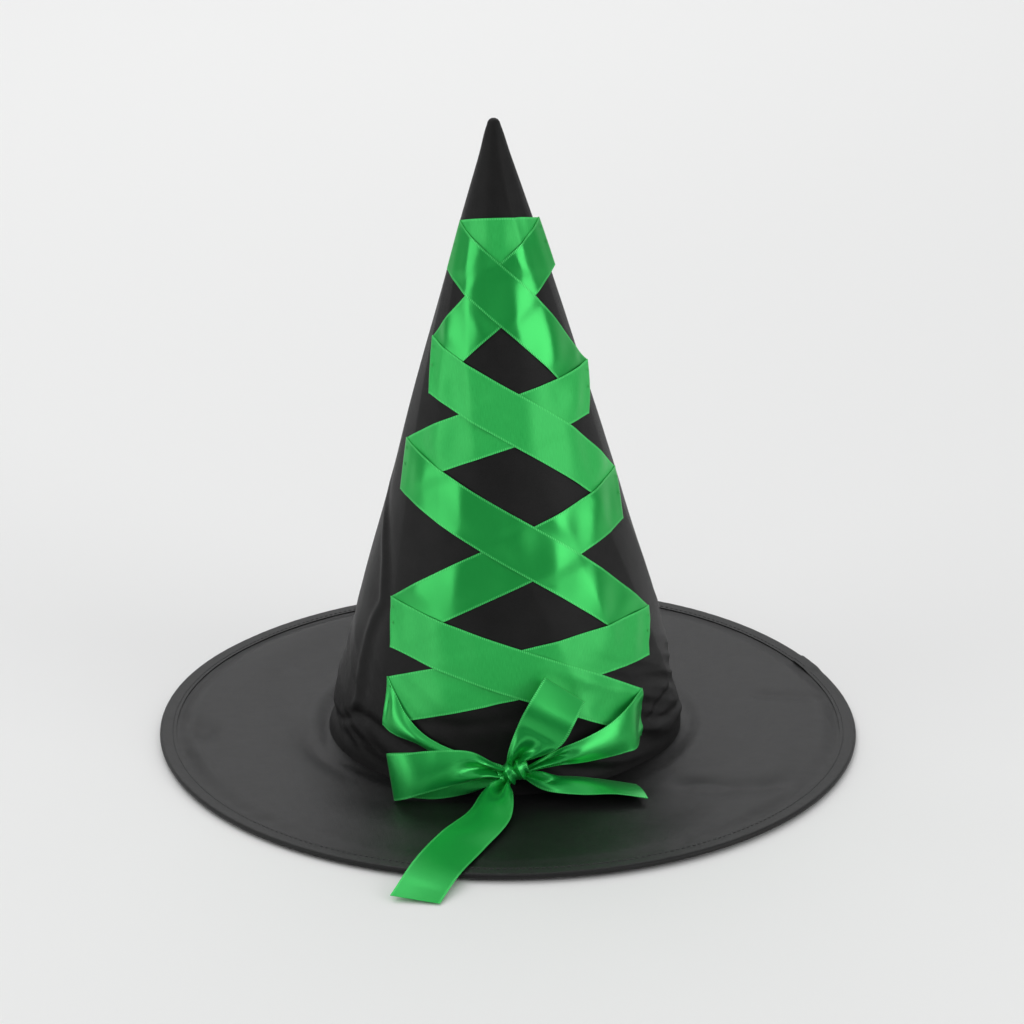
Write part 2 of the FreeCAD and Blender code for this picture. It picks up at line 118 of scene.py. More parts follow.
def through(points, share_points):
    """Points on a smooth curve through the given points, at shares counted in points."""
    points = np.asarray(points, float)
    gaps = np.linalg.norm(np.diff(points.reshape(len(points), -1), axis=0), axis=1)
    knots = np.concatenate([[0], np.cumsum(np.sqrt(np.maximum(gaps, 1e-6)))])
    slopes = np.zeros_like(points)
    for i in range(len(points)):
        before = max(i - 1, 0)
        after = min(i + 1, len(points) - 1)
        if before == i or after == i:
            slopes[i] = (points[after] - points[before]) / (knots[after] - knots[before])
        else:
            slopes[i] = ((points[i] - points[before]) / (knots[i] - knots[before])
                         - (points[after] - points[before]) / (knots[after] - knots[before])
                         + (points[after] - points[i]) / (knots[after] - knots[i]))
    made = []
    for share in share_points:
        i = min(int(share), len(points) - 2)
        t = share - i
        span = knots[i + 1] - knots[i]
        made.append((2 * t**3 - 3 * t**2 + 1) * points[i]
                    + (t**3 - 2 * t**2 + t) * span * slopes[i]
                    + (3 * t**2 - 2 * t**3) * points[i + 1]
                    + (t**3 - t**2) * span * slopes[i + 1])
    return np.array(made)


def unit(vectors):
    lengths = np.linalg.norm(vectors, axis=-1, keepdims=True)
    return vectors / np.maximum(lengths, 1e-9)


def full_turn(count):
    """Angles in degrees round the hat, starting at the back, with the last one short of the first."""
    return np.linspace(-180, 180, count, endpoint=False)


def place_on_hat(piece, slot, *nodes):
    """Puts a piece on the hat's body, in the place of its CAD nodes."""
    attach(piece, "hat")
    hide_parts(*nodes)


# ---- making meshes


def make_object(name, vertices, faces, uvs, face_materials, materials, sharp=48):
    """A mesh in metres from millimetre vertices.  uvs holds one pair per face corner."""
    mesh = bpy.data.meshes.new(name)
    mesh.from_pydata((np.asarray(vertices) * MM).tolist(), [], faces)
    layer = mesh.uv_layers.new(name="cloth")
    layer.data.foreach_set("uv", np.asarray(uvs, np.float32).ravel())
    mesh.polygons.foreach_set("material_index", np.asarray(face_materials, np.int32))
    for material in materials:
        mesh.materials.append(material)
    mesh.shade_smooth()
    mesh.set_sharp_from_angle(angle=math.radians(sharp))
    mesh.update()
    made = bpy.data.objects.new(name, mesh)
    scene.collection.objects.link(made)
    return made


def grid_normals(grid, closed):
    """Unit normals of a grid of points whose first direction may close on itself."""
    if closed:
        along = np.roll(grid, -1, axis=0) - np.roll(grid, 1, axis=0)
    else:
        along = np.gradient(grid, axis=0)
    across = np.gradient(grid, axis=1)
    return unit(np.cross(along, across))


def sheet_object(name, grid, thickness, materials, uv, closed=False):
    """A closed thin solid about a grid of middle points: faces, back and rim.

    uv has one more row than the grid when the grid closes.  Material 0 is the face, 1 the back.
    """
    rows, columns = grid.shape[:2]
    normals = grid_normals(grid, closed)
    half = np.broadcast_to(np.asarray(thickness, float) / 2, (rows, columns))[..., None]
    vertices = np.concatenate([(grid + normals * half).reshape(-1, 3),
                               (grid - normals * half).reshape(-1, 3)])
    offset = rows * columns
    faces = []
    uvs = []
    slots = []

    def corner(i, j, side):
        return (i % rows) * columns + j + side * offset

    def add(cells, sides, slot):
        faces.append([corner(i, j, side) for (i, j), side in zip(cells, sides)])
        uvs.extend(uv[i, j] for i, j in cells)
        slots.append(slot)

    last = rows if closed else rows - 1
    back_slot = 1 if len(materials) > 1 else 0
    for i in range(last):
        for j in range(columns - 1):
            cells = [(i, j), (i + 1, j), (i + 1, j + 1), (i, j + 1)]
            add(cells, (0, 0, 0, 0), 0)
            add(cells[::-1], (1, 1, 1, 1), back_slot)
        add([(i + 1, 0), (i, 0), (i, 0), (i + 1, 0)], (0, 0, 1, 1), 0)
        edge = columns - 1
        add([(i, edge), (i + 1, edge), (i + 1, edge), (i, edge)], (0, 0, 1, 1), 0)
    if not closed:
        for j in range(columns - 1):
            add([(0, j), (0, j + 1), (0, j + 1), (0, j)], (0, 0, 1, 1), 0)
            edge = rows - 1
            add([(edge, j + 1), (edge, j), (edge, j), (edge, j + 1)], (0, 0, 1, 1), 0)
    return make_object(name, vertices, faces, uvs, slots, materials)


def ring_quads(rings, sides, flipped=False):
    """The corners of each quad between neighbouring rings, as pairs of (ring, side)."""
    quads = []
    for i in range(rings - 1):
        for j in range(sides):
            quad = [(i, j), (i, j + 1), (i + 1, j + 1), (i + 1, j)]
            quads.append([quad[0], *quad[:0:-1]] if flipped else quad)
    return quads


def tube_object(name, path, radius, material, sides=10):
    """A round wire along a path of points, with a cap on each end."""
    path = np.asarray(path, float)
    count = len(path)
    tangents = unit(np.gradient(path, axis=0))
    side = unit(np.cross(tangents, [0, 0, 1.0]))
    top = np.cross(side, tangents)
    angles = np.linspace(0, 2 * math.pi, sides, endpoint=False)
    rings = (path[:, None] + radius * (np.cos(angles)[None, :, None] * side[:, None]
                                       + np.sin(angles)[None, :, None] * top[:, None]))
    vertices = rings.reshape(-1, 3)
    faces = []
    uvs = []
    for quad in ring_quads(count, sides):
        faces.append([i * sides + j % sides for i, j in quad])
        uvs += [(i, j / sides) for i, j in quad]
    faces.append([j for j in range(sides)][::-1])
    faces.append([(count - 1) * sides + j for j in range(sides)])
    uvs += [(0, 0)] * sides * 2
    return make_object(name, vertices, faces, uvs, [0] * len(faces), [material])


def stitches_object(name, middles, along, up, length, radius, material):
    """Many short stitches of thread as one mesh.  Each is a bead that arches between its two holes."""
    rings = 7
    sides = 8
    shares = np.linspace(-1, 1, rings)
    angles = np.linspace(0, 2 * math.pi, sides, endpoint=False)
    along = unit(np.asarray(along, float))
    up = unit(np.asarray(up, float))
    across = np.cross(up, along)
    template = []
    for share in shares:
        fat = radius * math.sqrt(max(1 - abs(share) ** 3, 0.02))
        sink = -radius * 1.1 * abs(share) ** 2.5
        for angle in angles:
            template.append((share * length / 2, math.cos(angle) * fat, math.sin(angle) * fat + sink))
    template = np.array(template)
    vertices = (np.asarray(middles, float)[:, None]
                + template[None, :, 0, None] * along[:, None]
                + template[None, :, 1, None] * across[:, None]
                + template[None, :, 2, None] * up[:, None])
    faces = []
    uvs = []
    quads = ring_quads(rings, sides, True)
    for stitch in range(len(vertices)):
        base = stitch * rings * sides
        for quad in quads:
            faces.append([base + i * sides + j % sides for i, j in quad])
            uvs += [(i / rings, j / sides) for i, j in quad]
        faces.append([base + j for j in range(sides)])
        end = base + (rings - 1) * sides
        faces.append([end + j for j in range(sides)][::-1])
        uvs += [(0, 0)] * sides * 2
    return make_object(name, vertices.reshape(-1, 3), faces, uvs, [0] * len(faces), [material])


# ---- materials


class Nodes:
    """A material's node tree with short ways to add to it."""

    def __init__(self, name):
        self.material = bpy.data.materials.new(name)
        self.material.use_nodes = True
        self.tree = self.material.node_tree
        self.shader = self.tree.nodes["Principled BSDF"]

    def add(self, kind, **settings):
        node = self.tree.nodes.new(kind)
        for key, value in settings.items():
            setattr(node, key, value)
        return node

    def link(self, source, target):
        self.tree.links.new(source, target)

    def math(self, operation, first, second=None):
        node = self.add("ShaderNodeMath", operation=operation)
        for index, value in enumerate((first, second)):
            if value is None:
                continue
            if isinstance(value, (int, float)):
                node.inputs[index].default_value = value
            else:
                self.link(value, node.inputs[index])
        return node.outputs[0]

    def add_scaled(self, first, second, factor):
        return self.math("ADD", first, self.math("MULTIPLY", second, factor))

    def fit(self, value, low, high, to_low, to_high):
        node = self.add("ShaderNodeMapRange")
        self.link(value, node.inputs["Value"])
        for key, number in (("From Min", low), ("From Max", high), ("To Min", to_low), ("To Max", to_high)):
            node.inputs[key].default_value = number
        return node.outputs["Result"]

    def mix(self, share, first, second):
        node = self.add("ShaderNodeMix", data_type="RGBA")
        self.link(share, node.inputs[0])
        for index, colour in ((6, first), (7, second)):
            if isinstance(colour, tuple):
                node.inputs[index].default_value = (*colour, 1)
            else:
                self.link(colour, node.inputs[index])
        return node.outputs[2]

    def noise(self, vector, scale, detail=3.0, stretch=None):
        if stretch is not None:
            mapping = self.add("ShaderNodeMapping")
            mapping.inputs["Scale"].default_value = stretch
            self.link(vector, mapping.inputs["Vector"])
            vector = mapping.outputs[0]
        node = self.add("ShaderNodeTexNoise")
        node.inputs["Scale"].default_value = scale
        node.inputs["Detail"].default_value = detail
        self.link(vector, node.inputs["Vector"])
        return node.outputs["Fac"]

    def wave(self, vector, direction, scale):
        node = self.add("ShaderNodeTexWave", bands_direction=direction)
        node.inputs["Scale"].default_value = scale
        self.link(vector, node.inputs["Vector"])
        return node.outputs["Fac"]

    def bump(self, height, strength, distance, after=None):
        node = self.add("ShaderNodeBump")
        node.inputs["Strength"].default_value = strength
        node.inputs["Distance"].default_value = distance
        self.link(height, node.inputs["Height"])
        if after is not None:
            self.link(after, node.inputs["Normal"])
        return node.outputs[0]

    def set(self, **values):
        for key, value in values.items():
            self.shader.inputs[key.replace("_", " ")].default_value = value


def taffeta(name, dark, light, roughness, sheen, specular):
    """A plain woven cloth with a soft sheen.  Its uv runs in units of 100 mm along the threads."""
    nodes = Nodes(name)
    uv = nodes.add("ShaderNodeUVMap", uv_map="cloth").outputs[0]
    slubs_across = nodes.noise(uv, 60, 3, (1, 14, 1))
    slubs_along = nodes.noise(uv, 60, 3, (14, 1, 1))
    slubs = nodes.math("ADD", slubs_across, slubs_along)
    clouds = nodes.noise(uv, 7, 4)
    grain = nodes.noise(uv, 170, 2)
    threads = nodes.add_scaled(nodes.math("MULTIPLY", slubs, 0.2), grain, 0.5)
    shade = nodes.add_scaled(threads, clouds, 0.4)
    nodes.link(nodes.mix(nodes.fit(shade, 0.45, 0.85, 0, 1), dark, light), nodes.shader.inputs["Base Color"])
    nodes.link(nodes.fit(slubs, 0.7, 1.3, roughness - 0.04, roughness + 0.06),
               nodes.shader.inputs["Roughness"])
    weave = nodes.math("MULTIPLY", nodes.wave(uv, "X", 52), nodes.wave(uv, "Y", 52))
    fine = nodes.bump(weave, 0.35, 0.0001)
    coarse = nodes.bump(nodes.math("ADD", slubs, grain), 0.3, 0.0002, fine)
    puckers = nodes.bump(nodes.noise(uv, 9, 2), 0.12, 0.0016, coarse)
    nodes.link(puckers, nodes.shader.inputs["Normal"])
    nodes.set(Sheen_Weight=sheen, Sheen_Roughness=0.35, Specular_IOR_Level=specular)
    nodes.set(Sheen_Tint=(0.85, 0.87, 0.9, 1))
    return nodes.material


def satin(name, deep, bright, roughness, metallic, specular, lines):
    """One side of a satin ribbon.  Its uv has the width from 0 to 1 and the length in widths."""
    nodes = Nodes(name)
    uv = nodes.add("ShaderNodeUVMap", uv_map="cloth").outputs[0]
    split = nodes.add("ShaderNodeSeparateXYZ")
    nodes.link(uv, split.inputs[0])
    across = split.outputs[0]
    along = split.outputs[1]
    weft = nodes.noise(uv, 26, 1, (0.25, 3.2, 1))
    warp = nodes.noise(uv, 30, 2, (7.0, 0.4, 1))
    threads = nodes.add_scaled(nodes.math("MULTIPLY", weft, lines), warp, 0.35)
    from_middle = nodes.math("ABSOLUTE", nodes.math("SUBTRACT", across, 0.5))
    edge = nodes.fit(from_middle, 0.450, 0.468, 0, 1)
    dots = nodes.math("SINE", nodes.math("MULTIPLY", along, 150))
    picots = nodes.math("MULTIPLY", edge, nodes.fit(dots, -0.2, 0.6, 0, 1))
    body = nodes.mix(nodes.fit(threads, 0.3, 0.95, 0, 1), deep, bright)
    lighter = tuple(min(c * 1.35 + 0.07, 1) for c in bright)
    coloured = nodes.mix(nodes.math("MULTIPLY", picots, 0.9), body, lighter)
    nodes.link(coloured, nodes.shader.inputs["Base Color"])
    rough = nodes.add_scaled(nodes.fit(threads, 0.3, 0.95, roughness - 0.03, roughness + 0.05), edge, 0.14)
    nodes.link(rough, nodes.shader.inputs["Roughness"])
    ribs = nodes.bump(nodes.add_scaled(threads, picots, 1.4), 0.25, 0.00008)
    soft = nodes.bump(nodes.noise(uv, 1.1, 0), 0.25, 0.0030, ribs)
    nodes.link(soft, nodes.shader.inputs["Normal"])
    nodes.set(Metallic=metallic, Anisotropic=0.6, Sheen_Weight=0.03, Sheen_Roughness=0.4)
    nodes.set(Specular_IOR_Level=specular)
    tangent = nodes.add("ShaderNodeTangent", direction_type="UV_MAP", uv_map="cloth")
    nodes.link(tangent.outputs[0], nodes.shader.inputs["Tangent"])
    return nodes.material


def plain(name, dark, light, roughness, scale, metallic=0.0, bump_height=0.0001):
    """A small hard or thready part: two close colours, and a fine uneven surface."""
    nodes = Nodes(name)
    place = nodes.add("ShaderNodeTexCoord").outputs["Object"]
    grain = nodes.noise(place, scale, 3)
    nodes.link(nodes.mix(grain, dark, light), nodes.shader.inputs["Base Color"])
    nodes.link(nodes.fit(grain, 0.3, 0.7, roughness - 0.05, roughness + 0.08),
               nodes.shader.inputs["Roughness"])
    nodes.link(nodes.bump(grain, 0.5, bump_height), nodes.shader.inputs["Normal"])
    nodes.set(Metallic=metallic)
    return nodes.material


crown_face = taffeta("crown_taffeta", (0.007, 0.007, 0.007), (0.016, 0.0155, 0.0155), 0.46, 0.01, 0.15)
brim_face = taffeta("brim_taffeta", (0.003, 0.003, 0.003), (0.010, 0.010, 0.010), 0.35, 0.02, 0.24)
binding_face = taffeta("binding_tape", (0.005, 0.005, 0.005), (0.011, 0.011, 0.011), 0.45, 0.05, 0.3)
stiffening = plain("interlining", (0.60, 0.60, 0.58), (0.72, 0.72, 0.70), 0.85, 900)
black_thread = plain("black_thread", (0.012, 0.012, 0.012), (0.03, 0.03, 0.03), 0.55, 2500)
band_tape = plain("sweatband_tape", (0.012, 0.012, 0.013), (0.03, 0.03, 0.032), 0.7, 1500)
green_thread = plain("green_thread", (0.03, 0.38, 0.07), (0.07, 0.52, 0.12), 0.5, 2500)
wire_steel = plain("spring_wire", (0.42, 0.42, 0.43), (0.58, 0.58, 0.58), 0.35, 700, 1.0, 0.00003)
satin_face = satin("satin_face", (0.009, 0.46, 0.070), (0.016, 0.53, 0.087), 0.31, 0.56, 0.9, 0.3)
satin_back = satin("satin_back", (0.015, 0.48, 0.077), (0.035, 0.61, 0.118), 0.45, 0.28, 0.5, 0.9)

# ---- the brim's shape


def brim_rise(radius, around):
    """How far the brim stands up from its flat shape: it waves at its edge and has soft hollows."""
    edge = (1.3 - 1.3 * bump(turn_from(around, -145), 35) + 1.0 * bump(turn_from(around, 150), 30)
            - 0.9 * bump(turn_from(around, 105), 22) + 0.35 * np.sin(np.radians(around * 3 + 40)))
    rise = edge * np.clip((radius - BRIM_INNER) / (BRIM_RADIUS - BRIM_INNER), 0, 1) ** 1.5
    rise += 3.6 * bump(turn_from(around, 50), 30) * bump(radius - 91, 15)
    inside = smooth(radius, 97, 108) * (1 - smooth(radius, 170, 181))
    free = 1 - 0.75 * bump(turn_from(around, 12), 42)
    sides = bump(turn_from(around, -98), 34) + 0.8 * bump(turn_from(around, 92), 24)
    rise += inside * sides * 1.5
    rise += inside * free * (1.7 + 1.3 * ripples(around, radius, 11, 6, (2, 8), (40, 110)))
    rise += 1.2 * bump(turn_from(around, -80), 22) * bump(radius - 132, 14)
    rise -= 3.0 * bump(turn_from(around, -68), 17) * bump(radius - 109, 9)
    rise -= 3.0 * bump(turn_from(around, -84), 5) * bump(radius - 167, 8)
    diagonal = turn_from(around, 48 + (radius - 120) * 0.22)
    rise -= 2.0 * bump(diagonal, 4.5) * smooth(radius, 112, 130) * (1 - smooth(radius, 160, 176))
    right_crease = turn_from(around, 102 - (radius - 140) * 0.1)
    rise -= 0.9 * bump(right_crease, 2.2) * smooth(radius, 136, 146) * (1 - smooth(radius, 172, 180))
    hollow = 0.45 * smooth(radius, 96, 110) * (1 - smooth(radius, 172, 180))
    return np.maximum(rise, 0.38 * smooth(radius, 172, 180) - hollow)


def puckers(radius, around):
    """Small gathers inside the stitched edge."""
    return 0.16 * (ripples(around, radius, 5, 8, (28, 80), (14, 40)) * bump(radius - 177, 4.5))


def ring_points(radius, around, height):
    angle = np.radians(around)
    return np.stack([radius * np.sin(angle), -radius * np.cos(angle), height + 0 * angle], -1)


def along_ring(around):
    """The direction of a ring round the hat at each angle."""
    angle = np.radians(around)
    return np.stack([np.cos(angle), np.sin(angle), 0 * angle], -1)


# ---- the crown's shape

# How far the outline stands out from the smooth cone, by height, on each side of the crown.
LEFT_HEIGHTS = (2.7, 6.5, 11, 15, 19, 25, 34, 42, 56, 71, 100, 150)
LEFT_RELIEF = (1.3, 1.0, -0.6, 0.7, 1.9, 2.7, 2.7, 2.0, 1.8, 1.5, 0.8, 0)
RIGHT_HEIGHTS = (2.7, 6, 11, 15.7, 22, 28, 35, 43, 52, 75, 100, 130, 165)
RIGHT_RELIEF = (-2.2, -1.3, -0.2, 0.7, 0.4, -0.2, 0.2, 1.4, 2.0, 2.2, 1.8, 0.8, 0)
FRONT_HEIGHTS = (2.7, 6, 10, 20, 40, 70, 110, 160)
FRONT_RELIEF = (-2.2, -1.7, -1.1, -0.1, 0.5, 0.5, 0.3, 0)


def crown_radius(height):
    share = (height - BRIM_TOP) / (SHOULDER - BRIM_TOP)
    side = CROWN_BASE - (CROWN_BASE - CROWN_TIP) * share + CROWN_ARC * share * (1 - share)
    tip = np.sqrt(np.maximum(CROWN_TIP**2 - np.maximum(height - SHOULDER, 0) ** 2, 0))
    return np.where(height > SHOULDER, tip, side)


def crease(around, height, path, depth, width, fade):
    """A valley along a path of (around, height) that runs across the crown, and its raised banks."""
    arounds = [p[0] for p in path]
    heights = [p[1] for p in path]
    order = np.argsort(arounds)
    line = np.interp(around, np.array(arounds)[order], np.array(heights)[order])
    window = smooth(around, min(arounds) - fade, min(arounds) + fade)
    window = window * (1 - smooth(around, max(arounds) - fade, max(arounds) + fade))
    away = height - line
    banks = 0.45 * (bump(away - 2.2 * width, 1.5 * width) + bump(away + 2.2 * width, 1.5 * width))
    return depth * window * (banks - bump(away, width))


def ridge(around, height, path, rise, width):
    """A fold that runs up the crown along a path of (height, around), with a hollow on one side."""
    heights = np.array([p[0] for p in path])
    arounds = np.array([p[1] for p in path])
    line = np.interp(height, heights, arounds)
    window = smooth(height, heights[0] - 4, heights[0] + 6)
    window = window * (1 - smooth(height, heights[-1] - 40, heights[-1]))
    away = np.radians(turn_from(around, line)) * crown_radius(height)
    return window * rise * (bump(away, width) - 0.75 * bump(away - 2.2 * width, 1.6 * width))


LEFT_FOLD = ((26, -64), (35, -62.5), (51, -64.5), (58, -65), (69, -65.5), (79, -64), (90, -60),
             (109, -66), (126, -76), (143, -90), (160, -96))


# Each crease has its path of (around, height), its depth, its width and how far its ends fade out.
CREASES = (
    (((-66, 26), (-53, 28.6), (-44, 26.4), (-35, 21.8)), 1.3, 2.8, 4),
    (((-72, 25.4), (-64, 19), (-56, 14.2)), 1.0, 2.2, 4),
    (((-96, 11), (-84, 12.5), (-74, 16), (-64, 23)), 0.9, 2.3, 5),
    (((-30, 37.7), (-15, 38.7), (-6, 41.2), (2, 42.4)), 0.7, 3.2, 4),
    (((58, 27), (68, 31), (82, 33)), 1.2, 2.2, 4),
    (((56, 27), (70, 21), (86, 18.5)), 1.1, 2.0, 4),
    (((150, 30), (170, 25), (196, 33)), 0.9, 3.0, 8),
)


def relief(around, height):
    """How far the crown's cloth stands out from the smooth cone."""
    left = np.interp(height, LEFT_HEIGHTS, LEFT_RELIEF)
    right = np.interp(height, RIGHT_HEIGHTS, RIGHT_RELIEF)
    front = np.interp(height, FRONT_HEIGHTS, FRONT_RELIEF)
    left_share = bump(turn_from(around, -92), 42)
    right_share = bump(turn_from(around, 92), 42)
    rest = np.maximum(1 - left_share - right_share, 0)
    total = left * left_share + right * right_share + front * rest
    total += ridge(around, height, LEFT_FOLD, 1.1, 3.0)
    for path, depth, width, fade in CREASES:
        total += crease(around, height, path, depth, width, fade)
    low = 1 - smooth(height, 40, 90)
    wide = smooth(height, 10, 30) * (1 - smooth(height, 250, 320))
    total += 0.35 * wide * ripples(around, height, 3, 7, (2, 7), (60, 160))
    foot = low * smooth(height, 6, 14)
    total += 0.35 * foot * ripples(around, height, 8, 9, (6, 19), (18, 45))
    total += 1.5 * foot * (0.4 - np.abs(ripples(around, height, 14, 4, (3, 9), (22, 60))))
    total += 0.8 * foot * (0.4 - np.abs(ripples(around, height, 31, 4, (7, 17), (14, 34))))
    facets = np.abs(ripples(around, height, 52, 3, (5, 9), (150, 420)))
    total += 0.8 * wide * (0.4 - facets) * np.clip(crown_radius(height) / CROWN_BASE, 0.2, 1)
    seam = np.radians(turn_from(around, 180)) * crown_radius(height)
    total = total - 0.55 * bump(seam, 1.3) + 0.3 * bump(np.abs(seam) - 3.2, 2.2)
    total = total * (1 - smooth(height, 325, 338))
    tip_fold = ridge(around, height, ((278, 34), (300, 28), (345, 12)), 0.45, 2.0)
    return total + tip_fold + 0.6 * bump(height - 336, 8) * (1 - 0.5 * bump(turn_from(around, 75), 30))


def crown_point(around, height, lift=0.0):
    """A place on the crown's outer face, or off it by lift."""
    slope = (CROWN_BASE - CROWN_TIP) / (SHOULDER - BRIM_TOP)
    cosine = 1 / math.hypot(1, slope)
    radius = crown_radius(height) + relief(around, height) + lift * cosine
    foot = brim_rise(np.full_like(radius, 93.0), around)
    up = height + lift * slope * cosine + foot * np.exp(-np.maximum(height - BRIM_TOP, 0) / 9)
    lean = -LEAN * (np.clip(height, 0, CROWN_PEAK) / CROWN_PEAK) ** 1.5
    angle = np.radians(around)
    return np.stack([radius * np.sin(angle) + lean, -radius * np.cos(angle), up], -1)


# ---- crown, inside and out

CONE_SLOPE = 0.271
CONE_APEX = 365.3
cone_sine = CONE_SLOPE / math.hypot(1, CONE_SLOPE)
cone_cosine = 1 / math.hypot(1, CONE_SLOPE)


def unroll(height, around):
    """A place on the crown as a point of its cloth laid flat."""
    reach = (CONE_APEX - height) / cone_cosine
    turn = np.radians(around) * cone_sine
    return np.stack([reach * np.sin(turn), reach * np.cos(turn)], -1)


def crown_cloth_object():
    """The outer cone: its face, its inside and its closed tip."""
    columns = 360
    arounds = full_turn(columns)
    heights = np.concatenate([np.linspace(BRIM_TOP, 60, 66), np.linspace(61.5, 330, 130),
                              np.linspace(331, 339.5, 9), [341.0, 342.2, 342.8]])
    inside = heights[heights < 332][::-1]
    rings = []
    for height in inside:
        rings.append(crown_point(arounds, np.full(columns, height), -CLOTH))
    for height in heights:
        rings.append(crown_point(arounds, np.full(columns, height)))
    ring_heights = np.concatenate([inside, heights])
    count = len(rings)
    vertices = np.concatenate([np.concatenate(rings),
                               [rings[0].mean(axis=0), rings[-1].mean(axis=0) + [0, 0, 0.2]]])
    edges = np.linspace(-180, 180, columns + 1)
    uv = [unroll(height, edges) / 100 for height in ring_heights]
    faces = []
    uvs = []
    for quad in ring_quads(count, columns):
        faces.append([i * columns + j % columns for i, j in quad])
        uvs += [uv[i][j] for i, j in quad]
    for ring, pole in ((0, count * columns), (count - 1, count * columns + 1)):
        for j in range(columns):
            k = (j + 1) % columns
            pair = [ring * columns + j, ring * columns + k]
            corners = [uv[ring][j], uv[ring][j + 1]]
            if ring == 0:
                pair.reverse()
                corners.reverse()
            faces.append([*pair, pole])
            uvs += [*corners, corners[0]]
    return make_object("crown_cone_taffeta", vertices, faces, uvs, [0] * len(faces), [crown_face])


def lining_lift(height):
    """The stiff lining keeps clear of the creases that the outer cloth has near its foot."""
    return -1.25 - 1.0 * smooth(height, 6, 16) * (1 - smooth(height, 60, 90))


crown = crown_cloth_object()
place_on_hat(crown, "crown_taffeta", "crown_cloth")

lining_heights = np.linspace(3.4, 318, 90)[None, :]
lining_around = full_turn(180)[:, None]
lining_grid = crown_point(lining_around + 0 * lining_heights, lining_heights + 0 * lining_around,
                          lining_lift(lining_heights))
lining_uv = unroll(lining_heights + np.zeros((181, 1)),
                   np.linspace(-180, 180, 181)[:, None] + 0 * lining_heights) / 100
lining = sheet_object("crown_stiff_lining", lining_grid, 0.85, [stiffening], lining_uv, True)
place_on_hat(lining, "interlining", "crown_interlining")

SEAM_STITCHES = 74
seam_heights = np.linspace(8, 306, SEAM_STITCHES)
seam_middles = crown_point(np.full(SEAM_STITCHES, 180.0), seam_heights, lining_lift(seam_heights) - 0.7)
seam_stitches = stitches_object("crown_back_seam_stitches", seam_middles,
                                np.tile([0, -CONE_SLOPE, 1.0], (SEAM_STITCHES, 1)),
                                np.tile([0, -1.0, -CONE_SLOPE], (SEAM_STITCHES, 1)), 3.2, 0.22, black_thread)
place_on_hat(seam_stitches, "black_thread", "crown_seam_thread")

FOOT_STITCHES = 170
foot_around = full_turn(FOOT_STITCHES)
foot_radius = np.maximum(CROWN_BASE + relief(foot_around, np.full(FOOT_STITCHES, BRIM_TOP)) - 2.1, 91.4)
foot_middles = ring_points(foot_radius, foot_around,
                           BRIM_TOP + 0.2 + brim_rise(foot_radius, foot_around))
foot_along = along_ring(foot_around)
head_seam = stitches_object("head_seam_stitches", foot_middles, foot_along,
                            np.tile([0, 0, 1.0], (FOOT_STITCHES, 1)), 2.8, 0.2, black_thread)
place_on_hat(head_seam, "black_thread", "head_seam_thread")

band_around = full_turn(240)[:, None]
band_heights = np.linspace(0.05, BAND_HEIGHT, 10)[None, :]
band_waves = np.sin(np.radians(band_around * 5)) ** 2
band_radius = BAND_RADIUS - 0.35 * band_waves * (band_heights / BAND_HEIGHT) ** 2
band_grid = ring_points(band_radius, band_around + 0 * band_heights, band_heights + 0 * band_around)
band_edges = np.linspace(-180, 180, 241)[:, None]
band_uv = np.stack([np.radians(band_edges) * 0.904 + 0 * band_heights,
                    band_heights / 100 + 0 * band_edges], -1)
band = sheet_object("head_band_tape", band_grid, 0.7, [band_tape], band_uv, True)
place_on_hat(band, "sweatband_tape", "sweatband")

# ---- brim layers and edge


def brim_layer(name, bottom, thickness, material, columns, rows, gathered, inner, outer):
    around = full_turn(rows)[:, None]
    radius = np.linspace(inner, outer, columns)[None, :]
    height = bottom + thickness / 2 + brim_rise(radius, around)
    if gathered:
        height += puckers(radius, around)
    grid = ring_points(radius + 0 * around, around + 0 * radius, height)
    edges = np.radians(np.linspace(-180, 180, rows + 1))[:, None]
    uv = np.stack([radius * np.sin(edges), -radius * np.cos(edges)], -1) / 100
    return sheet_object(name, grid, thickness, [material], uv, True)


top_cloth = brim_layer("brim_top_taffeta", 2.2, CLOTH, brim_face, 64, 900, True, BRIM_INNER, LAYER_RADIUS)
core = brim_layer("brim_stiff_core", 1.0, 1.15, stiffening, 30, 360, False, BRIM_INNER, LAYER_RADIUS)
under_cloth = brim_layer("brim_under_taffeta", 0.5, CLOTH - 0.05, brim_face, 48, 600, False,
                         BRIM_INNER, LAYER_RADIUS)
for made, node, slot in ((top_cloth, "brim_top_cloth", "brim_taffeta"),
                         (core, "brim_interlining", "interlining"),
                         (under_cloth, "brim_under_cloth", "brim_taffeta")):
    place_on_hat(made, slot, node)

LAP_AROUND = 115.5
LAP_HALF = 2.15
LAP_LIFT = 0.58
EDGE_ROUND = 1.35


